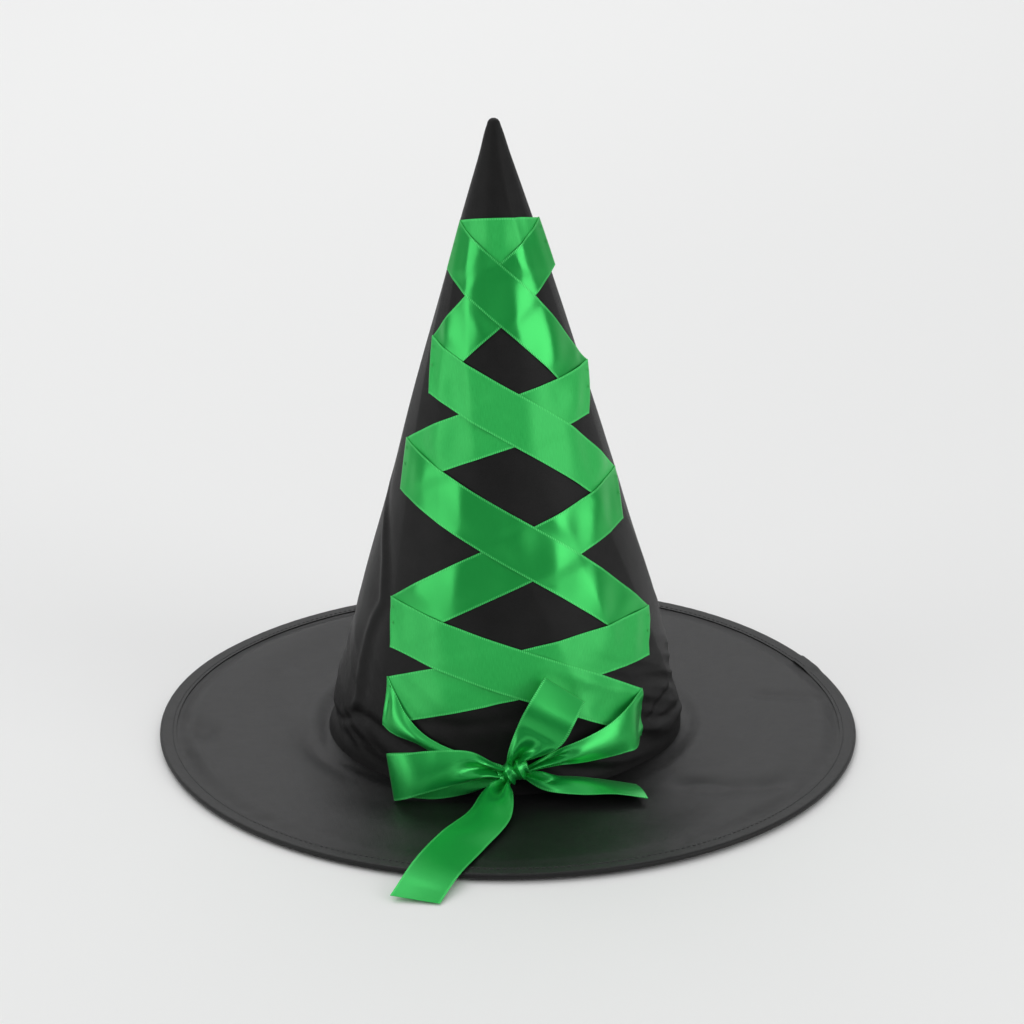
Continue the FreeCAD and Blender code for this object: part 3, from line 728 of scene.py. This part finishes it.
def binding_object():
    """The tape folded round the edge.  Its last stretch lies over its first, and is cut on a slant."""
    flat = np.linspace(181.0, HOOP_RADIUS, 7)
    angles = np.radians(np.linspace(90, -90, 11))[1:-1]
    radii = np.concatenate([flat, HOOP_RADIUS + EDGE_ROUND * np.cos(angles), flat[::-1]])
    heights = np.concatenate([np.full(7, 2.95), WIRE_HEIGHT + EDGE_ROUND * np.sin(angles), np.full(7, 0.25)])
    profile = np.stack([radii, heights], -1)
    out = -unit(np.stack([np.gradient(heights), -np.gradient(radii)], -1))
    rows = 1000
    share = np.linspace(0, 1, rows)[:, None]
    slant = (BRIM_RADIUS - radii)[None, :] / 9 * 1.3
    start = LAP_AROUND - LAP_HALF
    end = LAP_AROUND + LAP_HALF + 360 - slant
    around = start + (end - start) * share
    lapped = smooth(around, start + 360 - 3.0, start + 360 - 0.4) * LAP_LIFT
    radius = profile[None, :, 0] + out[None, :, 0] * lapped
    height = profile[None, :, 1] + out[None, :, 1] * lapped + brim_rise(radius, around)
    crinkle = 0.05 * ripples(around, radius * 4, 21, 8, (60, 170), (9, 20))
    height += crinkle * smooth(radius, 181, 182.5) * (heights > WIRE_HEIGHT)[None, :]
    grid = ring_points(radius, around, height)
    lengths = np.concatenate([[0], np.cumsum(np.linalg.norm(np.diff(profile, axis=0), axis=1))])
    uv = np.stack([np.radians(around) * 1.9, np.broadcast_to(lengths / 100, around.shape)], -1)
    return sheet_object("brim_edge_binding_tape", grid, CLOTH, [binding_face], uv)


binding = binding_object()
place_on_hat(binding, "binding_tape", "brim_binding")

STITCHES = 353
stitch_around = full_turn(STITCHES)
stitch_along = along_ring(stitch_around)
stitch_rise = brim_rise(np.full(STITCHES, STITCH_RADIUS), stitch_around)
over_lap = LAP_LIFT * (np.abs(turn_from(stitch_around, LAP_AROUND)) < LAP_HALF)
upper_row = ring_points(np.full(STITCHES, STITCH_RADIUS), stitch_around, 3.30 + stitch_rise + over_lap)
lower_row = ring_points(np.full(STITCHES, STITCH_RADIUS), stitch_around, 0.04 + stitch_rise)
stitches = stitches_object("brim_edge_stitches", np.concatenate([upper_row, lower_row]),
                           np.concatenate([stitch_along, stitch_along]),
                           np.concatenate([np.tile([0, 0, 1.0], (STITCHES, 1)),
                                           np.tile([0, 0, -1.0], (STITCHES, 1))]),
                           2.7, 0.24, black_thread)
place_on_hat(stitches, "black_thread", "brim_topstitch")


def hoop_path(first, last, count):
    """A stretch of the wire hoop's middle line, from one angle to another."""
    around = np.linspace(first, last, count)
    radius = np.full(count, HOOP_RADIUS)
    return ring_points(radius, around, WIRE_HEIGHT + brim_rise(radius, around))


wire = tube_object("brim_hoop_wire", hoop_path(180.3, 539.7, 480), WIRE_RADIUS, wire_steel)
ferrule = tube_object("hoop_joint_ferrule", hoop_path(177.9, 182.1, 16), FERRULE_RADIUS, wire_steel, 14)
for made, node in ((wire, "brim_wire"), (ferrule, "wire_ferrule")):
    place_on_hat(made, "spring_wire", node)

# ---- the lacing

FOLDS = {
    "l1": (277, -72), "r1": (277, 84),
    "l2": (216, -60), "r2": (201, 74),
    "l3": (162, -66), "r3": (143, 75),
    "l4": (83, -50), "r4": (71, 66),
    "l5": (43, -45), "r5": (33.5, 51),
}
KNOT_ENTRY = (19, 3)

# How far a fold stands off the crown at its upper and its lower end.
PROUD = {
    "l1": (0.6, 0.8), "r1": (2.6, 2.8), "l2": (0.8, 2.2), "r2": (3.6, 0.6), "l3": (1.2, 0.6),
    "r3": (1.4, 1.2), "l4": (1.0, 1.4), "r4": (1.4, 1.2), "l5": (1.6, 1.6), "r5": (1.2, 1.8),
}

# The runs from the lowest to the topmost.
STACK = [
    ("r1", "l1"), ("r1", "l2"), ("l1", "r2"), ("r2", "l3"), ("l2", "r3"), ("r3", "l4"), ("l3", "r4"),
    ("r4", "l5"), ("l4", "r5"), ("l5", "knot"), ("r5", "knot"),
]
TRAVEL = ["knot", "l5", "r4", "l3", "r2", "l1", "r1", "l2", "r3", "l4", "r5", "knot"]
FIRST_LIFT = 0.28
PITCH = 0.5
SLOPE_LENGTH = 7.0
PROUD_REACH = 9.0
WAVE_RISE = 0.95
WAVE_LENGTH = 4.6
ACROSS = np.linspace(0, 1, 15)


def roll(points, lift):
    """Points of the crown's flat cloth back on the crown, lifted off it."""
    reach = np.linalg.norm(points, axis=-1)
    height = CONE_APEX - reach * cone_cosine
    around = np.degrees(np.arctan2(points[..., 0], points[..., 1]) / cone_sine)
    return crown_point(around, height, lift)


def find_folds():
    """The two ends of each fold line, upper end first, on the flat cloth."""
    places = {name: unroll(*map(float, place)) for name, place in FOLDS.items()}
    places["knot"] = unroll(*map(float, KNOT_ENTRY))
    folds = {}
    for before, here, after in zip(TRAVEL, TRAVEL[1:], TRAVEL[2:]):
        along_in = unit(places[here] - places[before])
        along_out = unit(places[after] - places[here])
        line = unit(along_in + along_out)
        if line[1] < 0:
            line = -line
        half = RIBBON_WIDTH / 2 / abs(line[0] * along_out[1] - line[1] * along_out[0])
        folds[here] = np.array([places[here] - line * half, places[here] + line * half])
    return folds


folds = find_folds()


def knot_side(fold):
    side = -1 if fold == "l5" else 1
    entry = unroll(20.0, 3.0 + side * 5.0)
    return np.array([entry - [0, 3.5], entry + [0, 3.5]])


def run_ends(start, end):
    return folds[start], (knot_side(start) if end == "knot" else folds[end])


def run_outline(start, end):
    first, last = run_ends(start, end)
    corners = np.array([first[0], first[1], last[1], last[0]])
    following = np.roll(corners, -1, axis=0)
    area = np.sum(corners[:, 0] * following[:, 1] - following[:, 0] * corners[:, 1])
    return corners if area > 0 else corners[::-1]


outlines = [run_outline(*run) for run in STACK]


def cover(points, corners, slope=SLOPE_LENGTH):
    """1 on a run, falling to 0 a slope's length off it."""
    outside = np.full(points.shape[:-1], -1e9)
    for start, end in zip(corners, np.roll(corners, -1, axis=0)):
        along = unit(end - start)
        offset = points - start
        outside = np.maximum(outside, along[1] * offset[..., 0] - along[0] * offset[..., 1])
    return 1 - smooth(outside, 0, slope)


def layer_lift(points, index):
    covered = sum(cover(points, outlines[below]) for below in range(index))
    return FIRST_LIFT + PITCH * covered


def open_share(points, index):
    """1 where nothing lies over a run, 0 where a later run covers it."""
    share = np.ones(points.shape[:-1])
    for above in range(index + 1, len(STACK)):
        share = share * (1 - cover(points, outlines[above], 9.0))
    return share


def proud_lift(fold, distance):
    """The extra lift near a fold, at the ribbon's places across and at a distance from the fold."""
    if fold == "knot":
        return 0
    upper, lower = PROUD[fold]
    return (upper + (lower - upper) * ACROSS)[None, :] * np.exp(-distance[:, None] / PROUD_REACH)


def run_rows(start, end, count):
    """The rows of one run's middle surface, from its start to its end."""
    pair = (start, end) if (start, end) in STACK else (end, start)
    index = STACK.index(pair)
    first, last = run_ends(*pair)
    share = np.linspace(0, 1, count)
    if pair != (start, end):
        share = share[::-1]
    upper = first[0] + (last[0] - first[0]) * share[:, None]
    lower = first[1] + (last[1] - first[1]) * share[:, None]
    points = upper[:, None] + (lower - upper)[:, None] * ACROSS[None, :, None]
    length = np.linalg.norm(last.mean(axis=0) - first.mean(axis=0))
    lift = layer_lift(points, index)
    lift += proud_lift(pair[0], share * length) + proud_lift(pair[1], (1 - share) * length)
    wave = 0.5 + 0.5 * np.sin(share * length / WAVE_LENGTH + index * 1.7)[:, None]
    crossways = np.sin(ACROSS * math.pi + 0.5 * np.sin(share * 5 + index)[:, None])
    away_from_folds = (smooth(share * length, 3, 14) * smooth((1 - share) * length, 3, 14))[:, None]
    fullness = 0.45 + 0.55 * np.maximum(crossways, 0)
    lift += WAVE_RISE * wave * fullness * open_share(points, index) * away_from_folds
    return points, lift, index


def bend_rows(arriving, leaving, away):
    """The half turn of a fold, from the arriving run's last row to the leaving run's first."""
    points, lift_in = arriving
    lift_out = leaving[1]
    rows = []
    for angle in np.linspace(0, math.pi, 9)[1:-1]:
        lift = (lift_in + lift_out) / 2 - math.cos(angle) * (lift_out - lift_in) / 2
        rows.append(roll(points + away * 0.75 * math.sin(angle), lift))
    return rows


def gathered_rows(stations, folds_across, reach, curl, both_ends):
    """The rows of a strip that is pleated where the knot grips it and softly cupped elsewhere.

    Width that doesn't fit between the two edges goes into the pleats, which die out within reach.
    """
    first, second, outward = station_rows(stations)
    gap = np.linalg.norm(second - first, axis=-1)
    spare = np.sqrt(np.maximum(RIBBON_WIDTH**2 - gap**2, 0))
    middle = (first + second) / 2
    along = np.concatenate([[0], np.cumsum(np.linalg.norm(np.diff(middle, axis=0), axis=1))])
    from_knot = np.minimum(along, along[-1] - along) if both_ends else along
    near = 1 - smooth(from_knot, reach * 0.2, reach)
    depth = np.minimum(0.92 * spare / (4 * folds_across), 0.35 * gap) * near
    cup = np.minimum(curl * spare, 0.35 * gap) * (1 - 0.7 * near)
    wave = depth[:, None] * np.sin(ACROSS * math.pi * 2 * folds_across)[None, :]
    wave += cup[:, None] * np.sin(ACROSS * math.pi)[None, :]
    rows = first[:, None] + (second - first)[:, None] * ACROSS[None, :, None]
    return rows + unit(outward)[:, None] * wave[..., None]


def station_rows(stations, step=1.6):
    """The two edges, and the pleats' direction, on smooth curves through a strip's stations."""
    table = np.array([[a, b, out] for a, b, out in stations], float)
    shares = []
    for i in range(len(table) - 1):
        reach = np.linalg.norm((table[i + 1, :2] - table[i, :2]).mean(axis=0))
        cuts = max(4, int(reach / step))
        shares += list(i + np.arange(cuts) / cuts)
    shares.append(len(table) - 1)
    edges = through(table[:, :2], shares)
    outward = np.array([[np.interp(s, range(len(table)), table[:, 2, k]) for k in range(3)]
                        for s in shares])
    return edges[:, 0], edges[:, 1], outward


LEFT_END = [
    ((-3.5, -97.5, 22), (-4, -96.5, 16.5), (0, -1, 0)),
    ((-12, -95.6, 24), (-12, -94.8, 16), (-0.1, -1, 0)),
    ((-24, -91.5, 26), (-25, -91.2, 18), (-0.3, -1, 0.2)),
    ((-36, -86, 28.8), (-37, -87, 22.5), (-0.4, -1, 0.2)),
    ((-46, -79.8, 33.2), (-48, -81.5, 27), (-0.5, -0.9, 0.2)),
    ((-54, -72.5, 40.5), (-58, -75.5, 28.5), (-0.6, -0.8, 0.2)),
    ((-58.5, -66.5, 47.5), (-62.5, -71.5, 29.5), (-0.7, -0.7, 0.2)),
]
RIGHT_END = [
    ((10.5, -97.8, 21.5), (10.5, -97, 17.5), (0, -1, 0)),
    ((18, -95.6, 25.2), (18.5, -95.4, 19.2), (0.1, -1, 0)),
    ((26.6, -92.6, 28.8), (28.3, -93.4, 20.1), (0.3, -1, 0)),
    ((38.8, -87.3, 31.9), (39.5, -89.6, 19.8), (0.4, -1, 0)),
    ((51.6, -78.9, 35.6), (53.5, -81.8, 19.4), (0.5, -0.9, 0)),
    ((60, -70.5, 39.3), (62.5, -75.6, 19.2), (0.6, -0.8, 0)),
    ((65.2, -63.8, 42.6), (68, -71.2, 19.4), (0.7, -0.7, 0)),
]


def end_rows(stations, fold, curl, reach):
    """The ribbon's end strand: gathered at the knot, then eased on to the crown at its fold."""
    points, lift, _ = run_rows("knot", fold, 40)
    fold_row = roll(points, lift)[-1]
    rows = gathered_rows([*stations, (fold_row[0], fold_row[-1], stations[-1][2])], 2, reach, curl, False)
    to_fold = np.linalg.norm((rows - rows[-1]).mean(axis=1), axis=-1)
    weight = (1 - smooth(to_fold, 0.5, 9.0))[:, None, None]
    straight = rows[:, :1] + (rows[:, -1:] - rows[:, :1]) * ACROSS[None, :, None]
    rows = rows * (1 - weight) + (straight + (fold_row - straight[-1])[None]) * weight
    return rows, points[-1], lift[-1]


def lacing_grid():
    """The whole laced ribbon as one grid: rows along it, columns from its upper to its lower edge."""
    rows = []
    left, last_points, last_lift = end_rows(LEFT_END, "l5", 0.10, 34)
    rows += list(left)
    arriving = (last_points, last_lift)
    for start, end in zip(TRAVEL[1:-2], TRAVEL[2:-1]):
        length = np.linalg.norm(folds[start].mean(axis=0) - folds[end].mean(axis=0))
        points, lift, _ = run_rows(start, end, int(length / 1.5))
        away = fold_outward(start, points)
        rows += bend_rows(arriving, (points[0], lift[0]), away)
        rows += list(roll(points, lift))
        arriving = (points[-1], lift[-1])
    right, first_points, first_lift = end_rows(RIGHT_END, "r5", 0.10, 30)
    away = fold_outward("r5", run_rows("l4", "r5", 10)[0][::-1])
    rows += bend_rows(arriving, (first_points, first_lift), away)
    rows += list(right[::-1])
    return np.array(rows)


def fold_outward(fold, points):
    """The direction on the flat cloth that points away from the runs that meet at a fold."""
    line = unit(folds[fold][1] - folds[fold][0])
    away = np.array([line[1], -line[0]])
    inward = points[3].mean(axis=0) - points[0].mean(axis=0)
    return -away if np.dot(away, inward) > 0 else away


def ribbon_uv(grid):
    """Across the width from 0 to 1, and along in ribbon widths."""
    middle = grid[:, grid.shape[1] // 2]
    steps = np.linalg.norm(np.diff(middle, axis=0), axis=1)
    along = np.concatenate([[0], np.cumsum(steps)]) / RIBBON_WIDTH
    return np.stack(np.broadcast_arrays(ACROSS[None, :], along[:, None]), -1), along[-1] * RIBBON_WIDTH


def ribbon_object(name, grid, face, back):
    uv, length = ribbon_uv(grid)
    return sheet_object(name, grid, RIBBON_THICKNESS, [face, back], uv), length


lace_nodes = ["lace_top_span", "lace_end_left", "lace_end_right"]
lace_nodes += ["lace_run_%s_%s" % run for run in STACK[1:-2]]
lacing, lacing_length = ribbon_object("lacing_ribbon", lacing_grid(), satin_face, satin_back)
place_on_hat(lacing, "satin_ribbon", *lace_nodes)

TACK_INSET = 1.8
tack_middles = []
tack_along = []
tack_up = []
for name, (upper, lower) in folds.items():
    inward = np.array([-TACK_INSET if upper[0] > 0 else TACK_INSET, 0])
    for share, tilt in ((0.2, 0.4), (0.5, -0.5), (0.52, 0.6)):
        spot = upper + (lower - upper) * share + inward
        lift = layer_lift(spot[None], len(STACK))[0] + 0.12
        upper_extra, lower_extra = PROUD[name]
        proud = upper_extra + (lower_extra - upper_extra) * share
        lift += proud * math.exp(-TACK_INSET / PROUD_REACH)
        here = roll(spot[None], np.array([lift]))[0]
        ahead = roll((spot + [0.3 * math.sin(tilt), 0.3 * math.cos(tilt)])[None], np.array([lift]))[0]
        off = roll(spot[None], np.array([lift + 1]))[0]
        tack_middles.append(here)
        tack_along.append(ahead - here)
        tack_up.append(off - here)
tack_along = unit(np.array(tack_along))
tack_up = np.array(tack_up)
tacks = stitches_object("lacing_tack_stitches", tack_middles, tack_along, tack_up, 1.8, 0.15, green_thread)
place_on_hat(tacks, "green_thread", "lace_tacks")

# ---- the bow

FRONTWARD = (0, -1, 0.2)
BACKWARD = (0, -1, -0.2)
LEFT_LOOP = [
    ((-1, -100, 21.5), (-1.5, -100, 16.5), FRONTWARD),
    ((-4, -100.6, 22.5), (-5, -101.2, 16.3), FRONTWARD),
    ((-9, -100.6, 25.5), (-11, -103.8, 17.9), FRONTWARD),
    ((-20, -103, 32.2), (-24.9, -109, 16.5), FRONTWARD),
    ((-39, -107.5, 34.7), (-42.1, -114, 13.7), FRONTWARD),
    ((-55.5, -104.6, 31.7), (-53.5, -110.6, 8.5), FRONTWARD),
    ((-63.2, -98.6, 28.9), (-59.2, -104.6, 5), FRONTWARD),
    ((-61.8, -96.8, 28.4), (-58, -101.6, 4.6), FRONTWARD),
    ((-52, -96.2, 28.4), (-50, -101.2, 4.8), BACKWARD),
    ((-37, -96.2, 28), (-36.9, -102.6, 4.9), BACKWARD),
    ((-16, -96.3, 24), (-16.2, -99, 8), BACKWARD),
    ((-4, -96.8, 21.5), (-4.5, -97.6, 14.5), BACKWARD),
    ((-1, -97.5, 21), (-1.2, -98, 15.5), BACKWARD),
]
UP_FRONT = (0, -0.94, 0.34)
UPPER_LOOP = [
    ((2, -99, 22.5), (5.5, -99.5, 22), UP_FRONT),
    ((-0.3, -100.2, 25.8), (8.3, -100.8, 25.2), UP_FRONT),
    ((4.9, -100.9, 45.3), (26, -101.5, 33.3), UP_FRONT),
    ((10.5, -98, 56.2), (34, -98.2, 44.7), UP_FRONT),
    ((18, -88.8, 65.8), (39.2, -88.8, 51.9), UP_FRONT),
    ((19.2, -86.4, 66.9), (40.2, -86.4, 52.8), UP_FRONT),
    ((18.2, -84.6, 65), (39.4, -84.6, 51.2), UP_FRONT),
    ((11.6, -87.4, 52.5), (34.8, -87.2, 40.6), UP_FRONT),
    ((6.4, -91.6, 42), (27.6, -91.2, 30), UP_FRONT),
    ((1.5, -95.6, 27), (10, -95.6, 24), UP_FRONT),
    ((3, -97.2, 22.5), (6.5, -97.2, 22), UP_FRONT),
]
UPWARD = (0, -0.2, 1)
LOWER_TAIL = [
    ((-1.5, -99.5, 16), (2, -99.5, 15), (0, -0.5, 1)),
    ((-6, -103.3, 14.3), (1, -104.5, 12.6), (0, -0.4, 1)),
    ((-12, -108, 12.6), (2.5, -109, 12), UPWARD),
    ((-19.7, -128.5, 10.6), (1.5, -130.8, 7.4), UPWARD),
    ((-34, -154.5, 11), (-11.7, -162.7, 5.6), UPWARD),
    ((-47, -183.4, 9.4), (-23.9, -191.9, 5.6), UPWARD),
    ((-58.1, -209.6, 3.2), (-33.4, -214.2, 1), UPWARD),
]
SIDE_TAIL = [
    ((9, -97, 17.5), (9, -99.5, 15), (0, -0.5, 1)),
    ((12.3, -95.5, 16.5), (12.3, -101, 13), (0, -0.4, 1)),
    ((22, -93.2, 14), (20, -104, 10.2), UPWARD),
    ((38, -90.2, 11.7), (38, -107, 9.4), UPWARD),
    ((56, -83.2, 6), (57, -106.4, 9.4), UPWARD),
    ((67.4, -85, 4.9), (73, -106.2, 6.9), UPWARD),
]


def bow_piece(name, stations, reach, curl, both_ends, face, back):
    return ribbon_object(name, gathered_rows(stations, 1.5, reach, curl, both_ends), face, back)


left_loop, left_length = bow_piece("bow_left_loop", LEFT_LOOP, 34, 0.16, True, satin_face, satin_back)
place_on_hat(left_loop, "satin_ribbon", "bow_loop_left")
upper_loop, upper_length = bow_piece("bow_upper_loop", UPPER_LOOP, 26, 0.16, True, satin_back, satin_face)
place_on_hat(upper_loop, "satin_ribbon", "bow_loop_upper")
lower_tail, lower_length = bow_piece("bow_front_tail", LOWER_TAIL, 26, 0.2, False, satin_face, satin_back)
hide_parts("bow_tail_lower")
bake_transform(lower_tail)
side_tail, side_length = bow_piece("bow_side_tail", SIDE_TAIL, 22, 0.12, False, satin_back, satin_face)
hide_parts("bow_tail_right")
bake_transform(side_tail)

KNOT_CENTRE = np.array([3.5, -98.4, 19.3])


def knot_grid():
    """The wrap of the knot: the gathered ribbon goes once and a quarter round the crossing."""
    tilt = math.radians(27)
    axis = np.array([math.cos(tilt), 0, math.sin(tilt)])
    lift = np.array([-math.sin(tilt), 0, math.cos(tilt)])
    rows = []
    for turn in np.linspace(-150, 300, 90):
        angle = math.radians(turn)
        share = (turn + 150) / 450
        place = (ACROSS - 0.5) * 2
        barrel = np.sqrt(1 - 0.32 * place**2)
        pleats = 1.1 * np.cos(ACROSS * math.pi * 5 + angle * 0.8) * (0.85 + 0.15 * place)
        pleats += 0.55 * np.cos(ACROSS * math.pi * 9 - angle * 0.6)
        radius_up = (5.4 + 0.35 * share) * barrel + pleats
        radius_front = (4.9 + 0.35 * share) * barrel + pleats
        width = 14.5 + 1.2 * math.sin(angle + 0.6)
        row = (KNOT_CENTRE + axis * (place * width / 2)[:, None]
               + lift * (radius_up * math.cos(angle))[:, None]
               + np.array([0, -1, 0]) * (radius_front * math.sin(angle))[:, None])
        rows.append(row)
    return np.array(rows)


def knot_core():
    """The crossed strands inside the knot, as a lumpy closed bead."""
    rows = 26
    sides = 40
    turns = np.linspace(0, 2 * math.pi, sides, endpoint=False)
    vertices = []
    for i in range(rows):
        angle = math.pi * (i + 0.5) / rows
        ripple = 0.25 * np.sin(turns * 5 + i * 0.3)
        ring = np.stack([np.full(sides, -math.cos(angle) * 7.2),
                         np.sin(turns) * (math.sin(angle) * 3.6 + ripple * math.sin(angle)),
                         np.cos(turns) * (math.sin(angle) * 4.0 + ripple * math.sin(angle))], -1)
        vertices.append(ring)
    vertices = np.concatenate([*vertices, [[-7.3, 0, 0], [7.3, 0, 0]]]) + KNOT_CENTRE
    faces = [[i * sides + j % sides for i, j in quad] for quad in ring_quads(rows, sides, True)]
    first = rows * sides
    for j in range(sides):
        k = (j + 1) % sides
        faces.append([j, k, first])
        faces.append([(rows - 1) * sides + k, (rows - 1) * sides + j, first + 1])
    uvs = []
    for face in faces:
        for index in face:
            uvs.append((vertices[index][0] / RIBBON_WIDTH, vertices[index][2] / RIBBON_WIDTH))
    return make_object("bow_knot_core", vertices, faces, uvs, [0] * len(faces), [satin_face])


knot, knot_length = ribbon_object("bow_knot_wrap", knot_grid(), satin_face, satin_back)
place_on_hat(knot, "satin_ribbon", "bow_knot")
core_bead = knot_core()
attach(core_bead, "hat")

# ---- floor and light


def floor_object():
    mesh = bpy.data.meshes.new("studio_floor")
    reach = 8.0
    corners = [(-reach, -reach, 0), (reach, -reach, 0), (reach, reach, 0), (-reach, reach, 0)]
    mesh.from_pydata(corners, [], [(0, 1, 2, 3)])
    nodes = Nodes("studio_floor")
    nodes.set(Base_Color=(0.86, 0.86, 0.853, 1), Roughness=0.7)
    mesh.materials.append(nodes.material)
    floor = bpy.data.objects.new("studio_floor", mesh)
    scene.collection.objects.link(floor)
    return floor


floor_object()
world = bpy.data.worlds.new("studio")
world.use_nodes = True
scene.world = world


def studio_glow(tree, overhead, behind, front):
    """A studio that is bright overhead, paler behind the hat, and dim behind the camera."""
    background = tree.nodes["Background"]
    background.inputs["Color"].default_value = (0.985, 0.99, 1.0, 1)
    place = tree.nodes.new("ShaderNodeTexCoord")
    split = tree.nodes.new("ShaderNodeSeparateXYZ")
    tree.links.new(place.outputs["Generated"], split.inputs[0])
    total = tree.nodes.new("ShaderNodeMath")
    total.operation = "ADD"
    for index, (axis, low, high, base, top) in enumerate((
            ("Z", 0.12, 0.65, 0, overhead), ("Y", -0.4, 0.8, front, behind))):
        glow = tree.nodes.new("ShaderNodeMapRange")
        glow.interpolation_type = "SMOOTHSTEP"
        tree.links.new(split.outputs[axis], glow.inputs["Value"])
        for key, number in (("From Min", low), ("From Max", high), ("To Min", base), ("To Max", top)):
            glow.inputs[key].default_value = number
        tree.links.new(glow.outputs["Result"], total.inputs[index])
    tree.links.new(total.outputs[0], background.inputs["Strength"])


studio_glow(world.node_tree, 0.43, 0.45, 0.06)


def soft_light(name, place, target, size, power):
    data = bpy.data.lights.new(name, "AREA")
    data.shape = "RECTANGLE"
    data.size, data.size_y = size
    data.energy = power
    lamp = bpy.data.objects.new(name, data)
    scene.collection.objects.link(lamp)
    lamp.location = place
    direction = Vector(target) - Vector(place)
    lamp.rotation_euler = direction.to_track_quat("-Z", "Y").to_euler()


soft_light("overhead", (-0.9, 0.9, 2.2), (0, 0, 0.1), (1.6, 1.6), 11)
soft_light("side_left", (-2.05, -0.95, 0.70), (0, 0, 0.18), (1.5, 1.1), 11)
soft_light("side_right", (1.95, -1.15, 0.78), (0, 0, 0.16), (1.5, 1.2), 16)
soft_light("front_top", (-0.3, -1.5, 2.0), (0, 0, 0.1), (1.0, 0.8), 4)
soft_light("backdrop", (0, 2.2, 1.5), (0, 1.7, 0), (2.6, 1.0), 11)

bpy.context.view_layer.update()
